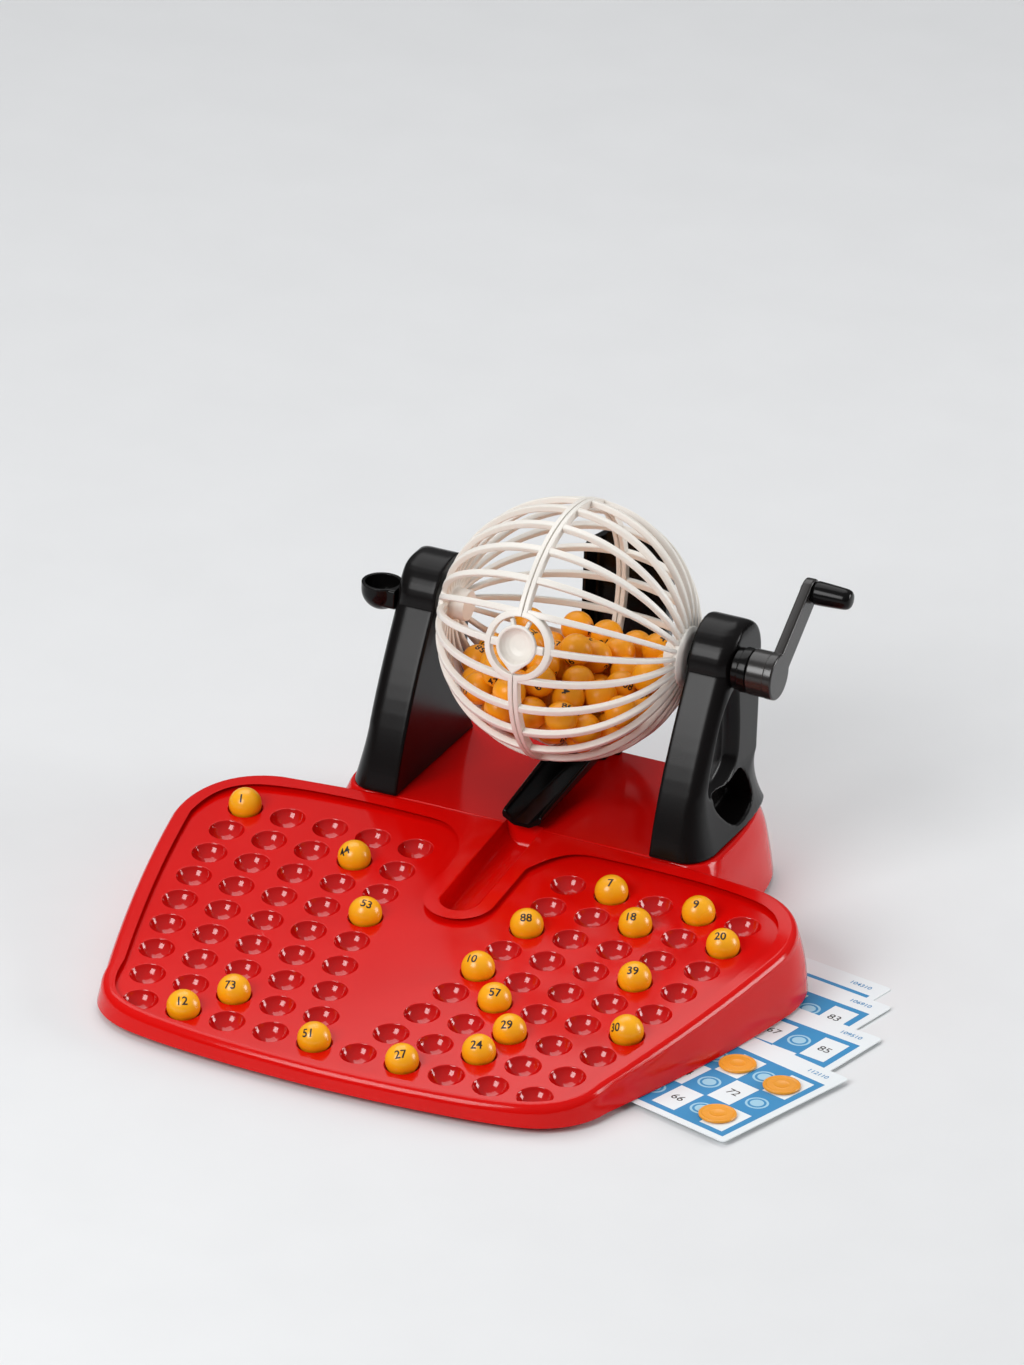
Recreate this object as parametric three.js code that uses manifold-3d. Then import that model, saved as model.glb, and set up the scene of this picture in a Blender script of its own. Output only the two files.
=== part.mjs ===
// Table-top bingo game: a moulded base with a dimpled ball tray, a cranked ball
// cage between two arms, a chute, numbered balls, and cards with round tokens.
// Millimetres, +Z up, front towards -Y. The cage turns about a line along X.

import * as THREE from "three";
import { mergeVertices } from "three/addons/utils/BufferGeometryUtils.js";
import Module from "manifold-3d";

const wasm = await Module();
wasm.setup();

// Running gap between neighbours that touch in the real game, and the overrun of every cut
const gap = 0.3;
const overrun = 4;

// Balls
const ballDiameter = 12.5;
const ballFacetRadius = 6.2;

// Base: deck under the cage, tray that falls to the front, skirt and feet
const deckHeight = 30;
const deckSideMargin = 1.7;
const deckFrontY = -36;
const deckBackY = 41;
const deckFlare = 6.5;
const deckEdgeRound = 1;
const trayLength = 178;
const trayFall = 20.5;
const trayHalfWidth = 125.5;
const rimRound = 3.2;
const skirtDraft = 0.18;
const baseWall = 2.5;
const footHeight = 2.5;
const footRadius = 6;
const footBossRadius = 7.5;
const footFrontX = 84;
const footFrontInset = 24;
const footSideInset = 11.5;
const footBackInset = 9;

// Ball field of the tray, with rows of dimples on each side of the channel
const fieldDepth = 2;
const fieldPlate = 7;
const fieldWallSlope = 0.8;
const dimpleRows = 9;
const dimpleColumns = 5;
const dimpleRadius = 6.65;
const dimpleDepth = 4.8;
const firstRow = 27;
const lastRowInset = 17.4;
const columnPitchShare = 0.14104;
const rowBowShare = 0.1793;

// Channel that carries a drawn ball forward from the chute
const channelRadius = 7.4;
const channelDepth = 9;
const channelFrontY = -97.5;
const channelBackY = -33;
const channelLip = 5;
const channelWall = 2;

// Cage: two halves of curved ribs on a hub, joined at a middle band
const cageRadius = 50;
const cageFloorRoom = 17;
const cageSideRoom = 2;
const ribThickness = 2.6;
const ribCount = 24;
const ribSteps = 5;
const ribWidthAtBand = 2.6;
const ribWidthAtHub = 1.5;
const bandWidth = 4;
const bandThickness = 3.2;
const seam = 0.3;
const hubRadius = 11.5;
const hubThickness = 3;
const hubBossRadius = 6;
const hubBossLength = 6;

// Port ring in the band and the ball outlet that it carries
const portElevation = 15;
const portRadius = 11;
const portRingWidth = 2.5;
const outletRadius = 8.6;
const outletTip = 10.6;
const outletDepth = 5.4;
const outletBowlRadius = 7.3;
const outletBowlDepth = 4.2;
const strutWidth = 3.2;
const strutThickness = 2;

// Arms that carry the cage
const armThickness = 17;
const armFootBulge = 4.8;
const armFootRise = 24;
const armFrontY = -37;
const armFrontBowY = -33;
const armFrontBowZ = 25;
const armHeadY = 8;
const armHeadDrop = 2;
const armHeadRadius = 16.5;
const armBackY = 24.5;
const armBackFootY = 33;
const armOuterRound = 6;
const armFootRoundX = 10;
const armFootRoundY = 14;
const armBackRound = 3;
const armBackFootRoundX = 6.5;
const armBackFootRoundY = 36;
const armInnerRound = 0.8;
const armTopRound = 5;
const recessDepth = 5;
const recessDraft = 4;
const pocketDepth = 4;
const pocketDraft = 1;

// Turning parts: shaft, collar, crank bar and knob
const shaftRadius = 4;
const pivotLength = 9;
const squareSide = 5;
const squareLength = 5;
const collarRadius = 8;
const collarStepRadius = 8.6;
const collarLength = 6;
const crankHubRadius = 9;
const crankHubLength = 6.5;
const crankLength = 37.5;
const crankWidth = 10;
const crankThickness = 4.1;
const crankAngle = 37;
const knobRadius = 4.6;
const knobTipRadius = 4;
const knobLength = 15;
const knobPinRadius = 1.6;
const knobPinHeadRadius = 2.6;
const knobPinHeadLength = 1;

// Cup on the outer side of the left arm, and its push-fit stub
const cupOuterRadius = 8;
const cupWall = 1.4;
const cupDepth = 11;
const cupRimAboveAxis = 2;
const cupStubRadius = 1.8;
const cupStubLength = 4.5;

// Chute under the cage, and the guard that turns down behind the cage into it
const chuteHalfWidth = 9.5;
const chuteFrontHalfWidth = 8;
const chuteFloorHalfWidth = 3;
const chuteWall = 1.5;
const chuteFrontY = -37;
const chuteBackInset = 14;
const chuteFrontFloor = 2;
const chuteRise = 3;
const chuteFrontSide = 5.6;
const chuteBackSide = 13;
const chuteFootHalfWidth = 4;
const chuteFootLength = 6;
const guardBehindCage = 11.5;
const guardHalfWidth = 17.5;
const guardFloorHalfWidth = 15;
const guardAboveAxis = 13.5;
const guardBendShare = 1.647;
const guardSide = 11;
const guardCorner = 5;
const guardSteps = 7;
const guardFootHalfWidth = 7;
const guardFootLength = 3.5;

// Screws that hold the arms from under the deck
const screwRadius = 1.5;
const screwHeadRadius = 3.2;
const screwHeadHeight = 2;
const screwLength = 14;
const screwInset = 10;
const screwFrontY = -21;
const screwBackInset = 4;

// Cards, fanned under the right-hand skirt, and tokens on the front one
const cardLength = 114;
const cardWidth = 70;
const cardThickness = 0.4;
const cardGap = 0.15;
const cardCorner = 1.5;
const tokenRadius = 7;
const tokenThickness = 1.2;
const tokenRimWidth = 0.9;
const tokenRimDepth = 0.3;

// Sizes that follow: the cage sets the arms, and the arms set the deck
const axisHeight = deckHeight + cageFloorRoom + cageRadius;
const armInnerX = cageRadius + cageSideRoom;
const armHeadZ = cageFloorRoom + cageRadius - armHeadDrop;
const deckHalfWidth = armInnerX + armThickness + armFootBulge + deckSideMargin;
const footBackX = deckHalfWidth - footSideInset;
const chuteBackY = cageRadius - chuteBackInset;
const footBackY = deckBackY - footBackInset;
const guardBackY = cageRadius + guardBehindCage;
const screwBackY = armBackY - screwBackInset;
const rowPitch = (trayLength - firstRow - lastRowInset) / (dimpleRows - 1);
const columnPitch = trayHalfWidth * columnPitchShare;
const rowBow = trayHalfWidth * rowBowShare;
const footFrontY = deckFrontY - trayLength + footFrontInset;

const finish = (color, roughness) =>
  new THREE.MeshStandardMaterial({ color, roughness, metalness: 0 });
const redPlastic = finish(0xd3120c, 0.22);
const blackPlastic = finish(0x111012, 0.35);
const whitePlastic = finish(0xf2efe8, 0.4);
const yellowBall = finish(0xf6b31e, 0.25);
const orangeBall = finish(0xf59a12, 0.3);
const cardPaper = finish(0xf4f6f6, 0.7);
const orangeToken = finish(0xf0a02c, 0.45);
const greyRubber = finish(0x4a4a4c, 0.8);
const steel = new THREE.MeshStandardMaterial({ color: 0xb9bcc0, roughness: 0.35, metalness: 1 });

// Solids and geometry
const merged = (geometry) => {
  const bare = geometry.clone();
  for (const name of Object.keys(bare.attributes)) {
    if (name !== "position") bare.deleteAttribute(name);
  }
  const welded = mergeVertices(bare);
  const corners = welded.attributes.position;
  const index = welded.index.array;
  const kept = [];
  const a = new THREE.Vector3();
  const b = new THREE.Vector3();
  const c = new THREE.Vector3();
  let volume = 0;
  for (let i = 0; i < index.length; i += 3) {
    const [p, q, r] = [index[i], index[i + 1], index[i + 2]];
    if (p === q || q === r || r === p) continue;
    a.fromBufferAttribute(corners, p);
    b.fromBufferAttribute(corners, q);
    c.fromBufferAttribute(corners, r);
    volume += a.dot(b.cross(c));
    kept.push(p, q, r);
  }
  if (volume < 0) kept.reverse();
  welded.setIndex(kept);
  return welded;
};

const solid = (geometry) => {
  const closed = merged(geometry);
  const mesh = new wasm.Mesh({
    numProp: 3,
    vertProperties: new Float32Array(closed.attributes.position.array),
    triVerts: new Uint32Array(closed.index.array),
  });
  return new wasm.Manifold(mesh);
};

const toGeometry = (body) => {
  const mesh = body.getMesh();
  const geometry = new THREE.BufferGeometry();
  geometry.setAttribute("position", new THREE.BufferAttribute(new Float32Array(mesh.vertProperties), 3));
  geometry.setIndex(Array.from(mesh.triVerts));
  return geometry;
};

const join = (bodies) => bodies.reduce((sum, body) => sum.add(body));

const mirrored = (geometry) => {
  const copy = geometry.clone();
  copy.scale(-1, 1, 1);
  copy.setIndex(Array.from(copy.index.array).reverse());
  return copy;
};

// A closed body through loops that have equal counts of points
const loft = (loops) => {
  const count = loops[0].length;
  const positions = loops.flatMap((loop) => loop.flatMap((p) => [p.x, p.y, p.z]));
  const index = [];
  for (let level = 0; level + 1 < loops.length; level++) {
    for (let i = 0; i < count; i++) {
      const j = (i + 1) % count;
      const [a, b] = [level * count + i, level * count + j];
      index.push(a, b, b + count, a, b + count, a + count);
    }
  }
  const cap = (level, sign) => {
    const loop = loops[level];
    const normal = new THREE.Vector3();
    loop.forEach((p, i) => normal.add(p.clone().cross(loop[(i + 1) % count])));
    const sizes = normal.toArray().map(Math.abs);
    const drop = sizes.indexOf(Math.max(...sizes));
    const flat = loop.map((p) => new THREE.Vector2(...p.toArray().filter((_, axis) => axis !== drop)));
    const faces = THREE.ShapeUtils.triangulateShape(flat, []);
    const area = new THREE.Vector3();
    for (const [a, b, c] of faces) {
      area.add(loop[b].clone().sub(loop[a]).cross(loop[c].clone().sub(loop[a])));
    }
    const same = area.dot(normal) * sign > 0;
    for (const face of faces) {
      const [a, b, c] = face.map((i) => level * count + i);
      index.push(...(same ? [a, b, c] : [c, b, a]));
    }
  };
  cap(0, -1);
  cap(loops.length - 1, 1);
  const geometry = new THREE.BufferGeometry();
  geometry.setAttribute("position", new THREE.Float32BufferAttribute(positions, 3));
  geometry.setIndex(index);
  return geometry;
};

// A counter-clockwise flat outline moved outward by a distance
const offset = (outline, distance) =>
  outline.map((point, i) => {
    const before = outline[(i + outline.length - 1) % outline.length];
    const after = outline[(i + 1) % outline.length];
    const along = after.clone().sub(before).normalize();
    return new THREE.Vector2(point.x + along.y * distance, point.y - along.x * distance);
  });

const revolveX = (profile, segments) => {
  const points = profile.map(([x, radius]) => new THREE.Vector2(radius, x));
  return new THREE.LatheGeometry(points, segments).rotateZ(-Math.PI / 2);
};

const revolveZ = (profile, segments) => {
  const points = profile.map(([radius, z]) => new THREE.Vector2(radius, z));
  return new THREE.LatheGeometry(points, segments).rotateX(Math.PI / 2);
};

const rodX = (radius, from, to, segments) =>
  revolveX([[from, 0], [from, radius], [to, radius], [to, 0]], segments);

const block = (x, y, z) => {
  const size = [x, y, z].map(([low, high]) => high - low);
  const middle = [x, y, z].map(([low, high]) => (low + high) / 2);
  return new THREE.BoxGeometry(...size).translate(...middle);
};

// A half outline in x >= 0, drawn from curves, closed by its mirror image
const symmetricOutline = (start, curves, steps) => {
  const path = new THREE.Path();
  path.moveTo(...start);
  for (const points of curves) {
    const flat = points.flat();
    if (points.length === 1) path.lineTo(...flat);
    if (points.length === 2) path.quadraticCurveTo(...flat);
    if (points.length === 3) path.bezierCurveTo(...flat);
  }
  const right = path.getPoints(steps);
  const left = right.slice(1, -1).reverse().map((p) => new THREE.Vector2(-p.x, p.y));
  return [...right, ...left];
};

// Surfaces of the base
const slope = trayFall / trayLength;
const tilt = Math.atan(slope);
const rimHeight = (y) => deckHeight + (y - deckFrontY) * slope;
const frontEdgeY = deckFrontY - trayLength;

// Shares of the half width and of the tray length, from the front middle round to the back
const trayStartShare = [0, 1];
const trayCurveShares = [
  [[0.4, 0.995], [0.606, 0.962]],
  [[0.72, 0.944], [0.79, 0.892], [0.805, 0.815]],
  [[0.94, 0.5], [1, 0.236]],
  [[1.016, 0.135], [0.948, 0.034], [0.781, 0.011]],
  [[0.48, -0.01]],
];
const trayPoint = ([x, y]) => [x * trayHalfWidth, deckFrontY - y * trayLength];
const trayOutline = symmetricOutline(
  trayPoint(trayStartShare),
  [...trayCurveShares.map((curve) => curve.map(trayPoint)), [[0, channelBackY]]],
  5,
);

const deckLength = deckBackY - deckFrontY;
const deckCurveShares = [
  [[0.86, 0]],
  [[0.96, 0], [1, 0.06], [1, 0.2]],
  [[1, 0.66], [0.95, 0.83], [0.82, 0.935]],
  [[0.75, 0.985], [0.68, 1], [0.6, 1]],
  [[0, 1]],
];
const deckPoint = ([x, y]) => [x * deckHalfWidth, deckFrontY + y * deckLength];
const deckCurves = deckCurveShares.map((curve) => curve.map(deckPoint));
const deckOutline = symmetricOutline([0, deckFrontY], deckCurves, 4);

const channelMiddleY = channelFrontY + channelRadius;
const peninsulaHalfWidth = channelRadius + channelLip;
const fieldCurveShares = [
  [[0.152, 0.062], [0.19, 0.041], [0.27, 0.037]],
  [[0.67, 0.028], [0.829, 0.065]],
  [[0.908, 0.087], [0.952, 0.135], [0.955, 0.225]],
  [[0.9, 0.48], [0.772, 0.79]],
  [[0.76, 0.875], [0.722, 0.93], [0.6, 0.947]],
  [[0.4, 0.97], [0, 0.975]],
];
const quarterBulge = 0.5523;
const fieldOutline = symmetricOutline(
  [0, channelMiddleY - peninsulaHalfWidth],
  [
    [
      [quarterBulge * peninsulaHalfWidth, channelMiddleY - peninsulaHalfWidth],
      [peninsulaHalfWidth, channelMiddleY - quarterBulge * peninsulaHalfWidth],
      [peninsulaHalfWidth, channelMiddleY],
    ],
    [trayPoint([0.0988, 0.146])],
    ...fieldCurveShares.map((curve) => curve.map(trayPoint)),
  ],
  4,
);

const channelOutline = (() => {
  const turns = 10;
  const points = [];
  for (let i = 0; i <= turns; i++) {
    const angle = Math.PI + (Math.PI * i) / turns;
    points.push([channelRadius * Math.cos(angle), channelMiddleY + channelRadius * Math.sin(angle)]);
  }
  points.push([channelRadius, channelBackY], [-channelRadius, channelBackY]);
  return points.map(([x, y]) => new THREE.Vector2(x, y));
})();

// Loops of a plan outline, each moved outward and set at its own height
const stack = (outline, levels) =>
  loft(levels.map(([outward, height]) =>
    offset(outline, outward).map((p) => new THREE.Vector3(p.x, p.y, height(p.y)))));

const level = (z) => () => z;
const underRim = (depth) => (y) => rimHeight(y) - depth;

const rowDistance = (row) => firstRow + row * rowPitch;
const columnX = (row, column) =>
  columnPitch * (column + 0.5) + rowBow * (1 - (row / (dimpleRows - 1)) ** 2);

// Centre of a dimple on the field, moved out along the tray's normal
const trayPlace = (side, row, column, lift) => {
  const along = rowDistance(row);
  const out = lift - fieldDepth;
  return [
    side * columnX(row, column),
    deckFrontY - along * Math.cos(tilt) - out * Math.sin(tilt),
    deckHeight - along * Math.sin(tilt) + out * Math.cos(tilt),
  ];
};

const dimpleCutter = () => {
  const middleShare = 0.68;
  const middleDepthShare = 0.72;
  const topShare = 0.5;
  const flare = ((1 - middleShare) * topShare) / middleDepthShare;
  return revolveZ([
    [0, -dimpleDepth],
    [dimpleRadius * middleShare, -dimpleDepth * middleDepthShare],
    [dimpleRadius * (1 + (flare * fieldDepth) / dimpleDepth), fieldDepth * topShare],
    [0, fieldDepth * topShare],
  ], 8).rotateX(tilt);
};

const feet = [
  ["foot_front_left", -footFrontX, footFrontY],
  ["foot_front_right", footFrontX, footFrontY],
  ["foot_back_left", -footBackX, footBackY],
  ["foot_back_right", footBackX, footBackY],
];

const screwX = armInnerX + screwInset;
const screws = [
  ["screw_left_front", -screwX, screwFrontY],
  ["screw_left_back", -screwX, screwBackY],
  ["screw_right_front", screwX, screwFrontY],
  ["screw_right_back", screwX, screwBackY],
];

const makeBase = () => {
  const reach = trayLength * 2;
  const skirtDrop = deckHeight + overrun;
  const trayBody = stack(trayOutline, [
    [skirtDraft * skirtDrop, underRim(skirtDrop)],
    [0, underRim(rimRound * 1.3)],
    [-rimRound * 0.3, underRim(rimRound * 0.35)],
    [-rimRound, underRim(0)],
  ]);
  const deckBody = stack(deckOutline, [
    [deckFlare, level(footHeight)],
    [deckFlare * 0.76, level(deckHeight * 0.4)],
    [deckFlare * 0.43, level(deckHeight * 0.73)],
    [0, level(deckHeight - deckEdgeRound)],
    [-deckEdgeRound, level(deckHeight)],
  ]);
  const trayHollow = stack(trayOutline, [
    [skirtDraft * skirtDrop - baseWall, underRim(skirtDrop)],
    [-baseWall, underRim(fieldDepth + fieldPlate)],
  ]);
  const deckHollow = stack(deckOutline, [
    [deckFlare - baseWall, level(-overrun)],
    [deckFlare * 0.76 - baseWall, level(deckHeight * 0.4)],
    [deckFlare * 0.43 - baseWall, level(deckHeight * 0.73)],
    [-baseWall, level(deckHeight - baseWall)],
  ]);
  const aboveFeet = block([-reach, reach], [-reach, reach], [footHeight, reach]);
  const outside = solid(trayBody).intersect(solid(aboveFeet)).add(solid(deckBody));
  let body = outside.subtract(solid(trayHollow)).subtract(solid(deckHollow));
  const channelWallBody = stack(channelOutline, [
    [channelWall * 0.3, underRim(channelDepth + channelWall)],
    [channelWall, underRim(channelDepth / 2)],
    [channelWall, underRim(baseWall)],
  ]);
  body = body.add(solid(channelWallBody));
  for (const [, x, y] of feet) {
    const top = y > deckFrontY ? deckHeight - baseWall / 2 : rimHeight(y) - fieldDepth;
    const side = [[0, footHeight], [footBossRadius, footHeight], [footBossRadius, top], [0, top]];
    const boss = revolveZ(side, 12).translate(x, y, 0);
    body = body.add(solid(boss).intersect(outside));
  }
  const field = stack(fieldOutline, [
    [-fieldWallSlope * 2, underRim(fieldDepth * 2)],
    [fieldWallSlope, underRim(-overrun)],
  ]);
  const aboveField = block([-reach, reach], [-reach, reach], [-fieldDepth * Math.cos(tilt), reach])
    .rotateX(tilt)
    .translate(0, deckFrontY, deckHeight);
  body = body.subtract(solid(field).intersect(solid(aboveField)));
  const channel = stack(channelOutline, [
    [-channelRadius * 0.8, underRim(channelDepth)],
    [-channelRadius * 0.4, underRim(channelDepth * 0.88)],
    [-channelRadius * 0.1, underRim(channelDepth * 0.6)],
    [0, underRim(channelDepth * 0.3)],
    [0, underRim(-overrun)],
  ]);
  body = body.subtract(solid(channel));
  const dimple = dimpleCutter();
  for (const side of [-1, 1]) {
    for (let row = 0; row < dimpleRows; row++) {
      for (let column = 0; column < dimpleColumns; column++) {
        const place = trayPlace(side, row, column, 0);
        body = body.subtract(solid(dimple.clone().translate(...place)));
      }
    }
  }
  for (const [, x, y] of screws) {
    const radius = screwRadius + gap;
    const low = deckHeight - baseWall - overrun;
    const high = deckHeight + overrun;
    const hole = revolveZ([[0, low], [radius, low], [radius, high], [0, high]], 12);
    body = body.subtract(solid(hole.translate(x, y, 0)));
  }
  return toGeometry(body);
};

// Arm sections are level loops: flat inside, rounded on the outer side
const armFront = (z) => {
  if (z >= armHeadZ) return armHeadY - Math.sqrt(Math.max(0, armHeadRadius ** 2 - (z - armHeadZ) ** 2));
  const end = armHeadY - armHeadRadius;
  const a = armHeadZ - 2 * armFrontBowZ;
  const t = (-armFrontBowZ + Math.sqrt(armFrontBowZ ** 2 + a * z)) / a;
  return (1 - t) ** 2 * armFrontY + 2 * t * (1 - t) * armFrontBowY + t ** 2 * end;
};

const armBack = (z) => {
  if (z >= armHeadZ) return armHeadY + Math.sqrt(Math.max(0, armHeadRadius ** 2 - (z - armHeadZ) ** 2));
  const low = Math.max(0, 1 - z / armFootRise);
  return armBackY + (armBackFootY - armBackY) * low ** 2;
};

const armOuter = (z) => {
  const low = Math.max(0, 1 - z / armFootRise);
  const roundFrom = armHeadZ + armHeadRadius - armTopRound;
  const high = Math.max(0, (z - roundFrom) / armTopRound);
  return armInnerX + armThickness + armFootBulge * low ** 1.5 - armTopRound * (1 - Math.sqrt(1 - high ** 2));
};

const corner = (x, y, radiusX, radiusY, from, steps) => {
  const points = [];
  for (let i = 0; i <= steps; i++) {
    const angle = from + (Math.PI / 2) * (i / steps);
    points.push([x + radiusX * Math.cos(angle), y + radiusY * Math.sin(angle)]);
  }
  return points;
};

const armSection = (z) => {
  const [front, back, outer] = [armFront(z), armBack(z), armOuter(z)];
  const room = (back - front) / 2;
  const low = Math.max(0, 1 - z / armFootRise);
  const swell = (high, foot) => high + (foot - high) * low;
  const frontX = Math.min(swell(armOuterRound, armFootRoundX), room * 0.8);
  const frontY = Math.min(swell(armOuterRound, armFootRoundY), room * 0.8);
  const backX = Math.min(swell(armBackRound, armBackFootRoundX), room * 0.6);
  const backY = Math.min(swell(armBackRound, armBackFootRoundY), room * 1.1);
  const inner = Math.min(armInnerRound, room * 0.2);
  const points = [
    ...corner(armInnerX + inner, front + inner, inner, inner, Math.PI, 1),
    ...corner(outer - frontX, front + frontY, frontX, frontY, -Math.PI / 2, 5),
    ...corner(outer - backX, back - backY, backX, backY, 0, 4),
    ...corner(armInnerX + inner, back - inner, inner, inner, Math.PI / 2, 1),
  ];
  return points.map(([x, y]) => new THREE.Vector3(x, y, deckHeight + gap + z));
};

const armLevels = () => {
  const footShares = [0, 0.18, 0.42, 0.7, 1];
  const headAngles = [0, 18, 36, 52, 66, 78, 86];
  const straightShares = [0.35, 0.68];
  const levels = footShares.map((share) => share * armFootRise);
  for (const share of straightShares) levels.push(armFootRise + (armHeadZ - armFootRise) * share);
  for (const angle of headAngles) {
    levels.push(armHeadZ + armHeadRadius * Math.sin(THREE.MathUtils.degToRad(angle)));
  }
  return levels;
};

// Smooth outlines of the outer recess and the pocket in Y and Z, as shares of the head height
const recessShares = [
  [0, 0.89], [-0.15, 0.79], [-0.27, 0.56], [-0.315, 0.35],
  [-0.15, 0.31], [0.03, 0.4], [0.06, 0.56], [0.04, 0.76],
];
const pocketShares = [[-0.27, 0.29], [-0.17, 0.14], [0, 0.05], [0.24, 0.11], [0.13, 0.33], [-0.07, 0.31]];

const sideCut = (shares, draft, from, to) => {
  const knots = [...shares, shares[0]].map(([y, z]) => new THREE.Vector2(y * armHeadZ, z * armHeadZ));
  const outline = new THREE.SplineCurve(knots).getPoints(shares.length * 2).slice(0, -1);
  if (THREE.ShapeUtils.area(outline) < 0) outline.reverse();
  const place = (x, outward) =>
    offset(outline, outward).map((p) => new THREE.Vector3(x, p.x, deckHeight + gap + p.y));
  return loft([place(from, -draft / 2), place(to, draft / 2)]);
};

const armOuterX = armInnerX + armThickness;

const makeArm = (side) => {
  let body = solid(loft(armLevels().map(armSection)));
  const pocketFloor = armOuterX - recessDepth - pocketDepth;
  const recess = sideCut(recessShares, recessDraft, armOuterX - recessDepth, armOuterX + overrun);
  const pocket = sideCut(pocketShares, pocketDraft, pocketFloor, armOuterX + armFootBulge + overrun);
  body = body.subtract(solid(recess)).subtract(solid(pocket));
  const boreEnd = side > 0 ? armOuterX + overrun : armInnerX + pivotLength;
  const bore = rodX(shaftRadius + gap, armInnerX - overrun, boreEnd, 20).translate(0, 0, axisHeight);
  body = body.subtract(solid(bore));
  if (side < 0) {
    const socket = rodX(cupStubRadius + gap, armOuterX - cupStubLength, armOuterX + overrun, 16);
    body = body.subtract(solid(socket.translate(0, 0, axisHeight)));
  }
  for (const y of [screwFrontY, screwBackY]) {
    const radius = screwRadius + gap;
    const top = deckHeight - baseWall + screwLength + gap;
    const low = deckHeight - overrun;
    const hole = revolveZ([[0, low], [radius, low], [radius, top], [0, top]], 12);
    body = body.subtract(solid(hole.translate(screwX, y, 0)));
  }
  const geometry = toGeometry(body);
  return side > 0 ? geometry : mirrored(geometry);
};

const makeScrew = () => {
  const headTop = deckHeight - baseWall - gap;
  const top = headTop + screwLength;
  return revolveZ([
    [0, headTop - screwHeadHeight],
    [screwHeadRadius * 0.7, headTop - screwHeadHeight],
    [screwHeadRadius, headTop - screwHeadHeight * 0.4],
    [screwHeadRadius, headTop],
    [screwRadius, headTop],
    [screwRadius, top - screwRadius],
    [0, top],
  ], 10);
};

const makeFoot = () => revolveZ([
  [0, 0],
  [footRadius * 0.9, 0],
  [footRadius, footHeight * 0.25],
  [footRadius, footHeight - gap],
  [0, footHeight - gap],
], 12);

// Cage, in its own frame with the middle at the origin
const ribInner = cageRadius - ribThickness;
const hubAngle = Math.asin((hubRadius * 0.86) / cageRadius);
const hubFaceX = cageRadius * Math.cos(hubAngle) + hubThickness / 3;

const makeRib = () => {
  const loops = [];
  const bandAngle = Math.PI / 2 - (seam / 2 + bandWidth / 4) / cageRadius;
  for (let step = 0; step <= ribSteps; step++) {
    const angle = hubAngle + ((bandAngle - hubAngle) * step) / ribSteps;
    const half = (ribWidthAtHub + (ribWidthAtBand - ribWidthAtHub) * Math.sin(angle)) / 2;
    const at = (radius, across) =>
      new THREE.Vector3(radius * Math.cos(angle), across, radius * Math.sin(angle));
    loops.push([at(ribInner, -half), at(ribInner, half), at(cageRadius, half), at(cageRadius, -half)]);
  }
  return loft(loops);
};

const portAxis = () => new THREE.Matrix4().makeRotationX(THREE.MathUtils.degToRad(90 - portElevation));

// A rod along the port's axis, from the cage's middle outward
const portRod = (radius, from, to, segments) =>
  revolveZ([[0, from], [radius, from], [radius, to], [0, to]], segments).applyMatrix4(portAxis());

const makeCageHalf = (side) => {
  const pieces = [];
  for (let i = 0; i < ribCount; i++) {
    const turn = THREE.MathUtils.degToRad(90 - portElevation) + (2 * Math.PI * i) / ribCount;
    pieces.push(solid(makeRib().rotateX(turn)));
  }
  const bandInner = cageRadius - bandThickness;
  const bandOuter = cageRadius + gap;
  const band = revolveX([
    [seam / 2, bandInner], [bandWidth / 2, bandInner], [bandWidth / 2, bandOuter],
    [seam / 2, bandOuter], [seam / 2, bandInner],
  ], 40);
  pieces.push(solid(band));
  const hub = revolveX([
    [hubFaceX - hubThickness - hubBossLength, 0],
    [hubFaceX - hubThickness - hubBossLength, hubBossRadius],
    [hubFaceX - hubThickness, hubBossRadius],
    [hubFaceX - hubThickness, hubRadius],
    [hubFaceX - hubThickness / 3, hubRadius],
    [hubFaceX, hubRadius * 0.8],
    [hubFaceX, 0],
  ], 24);
  pieces.push(solid(hub));
  let body = join(pieces);
  body = body.subtract(solid(portRod(portRadius + portRingWidth / 2, 0, cageRadius * 2, 24)));
  const ringOuter = portRadius + portRingWidth;
  const onSphere = (sphere, radius) => [radius, Math.sqrt(sphere ** 2 - radius ** 2)];
  const ring = solid(revolveZ([
    onSphere(bandInner, portRadius),
    onSphere(bandInner, ringOuter),
    onSphere(bandOuter, ringOuter),
    onSphere(bandOuter, portRadius),
    onSphere(bandInner, portRadius),
  ], 24).applyMatrix4(portAxis()));
  const reach = cageRadius * 2;
  const otherHalf = block([-reach, seam / 2], [-reach, reach], [-reach, reach]);
  body = body.add(ring.subtract(solid(otherHalf)));
  if (side > 0) {
    const half = squareSide / 2 + gap;
    const socket = block([hubFaceX - squareLength - gap, hubFaceX + overrun], [-half, half], [-half, half]);
    body = body.subtract(solid(socket));
    return toGeometry(body);
  }
  const pivot = rodX(shaftRadius, hubFaceX - hubThickness, armInnerX + pivotLength - gap, 24);
  return mirrored(toGeometry(body.add(solid(pivot))));
};

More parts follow.
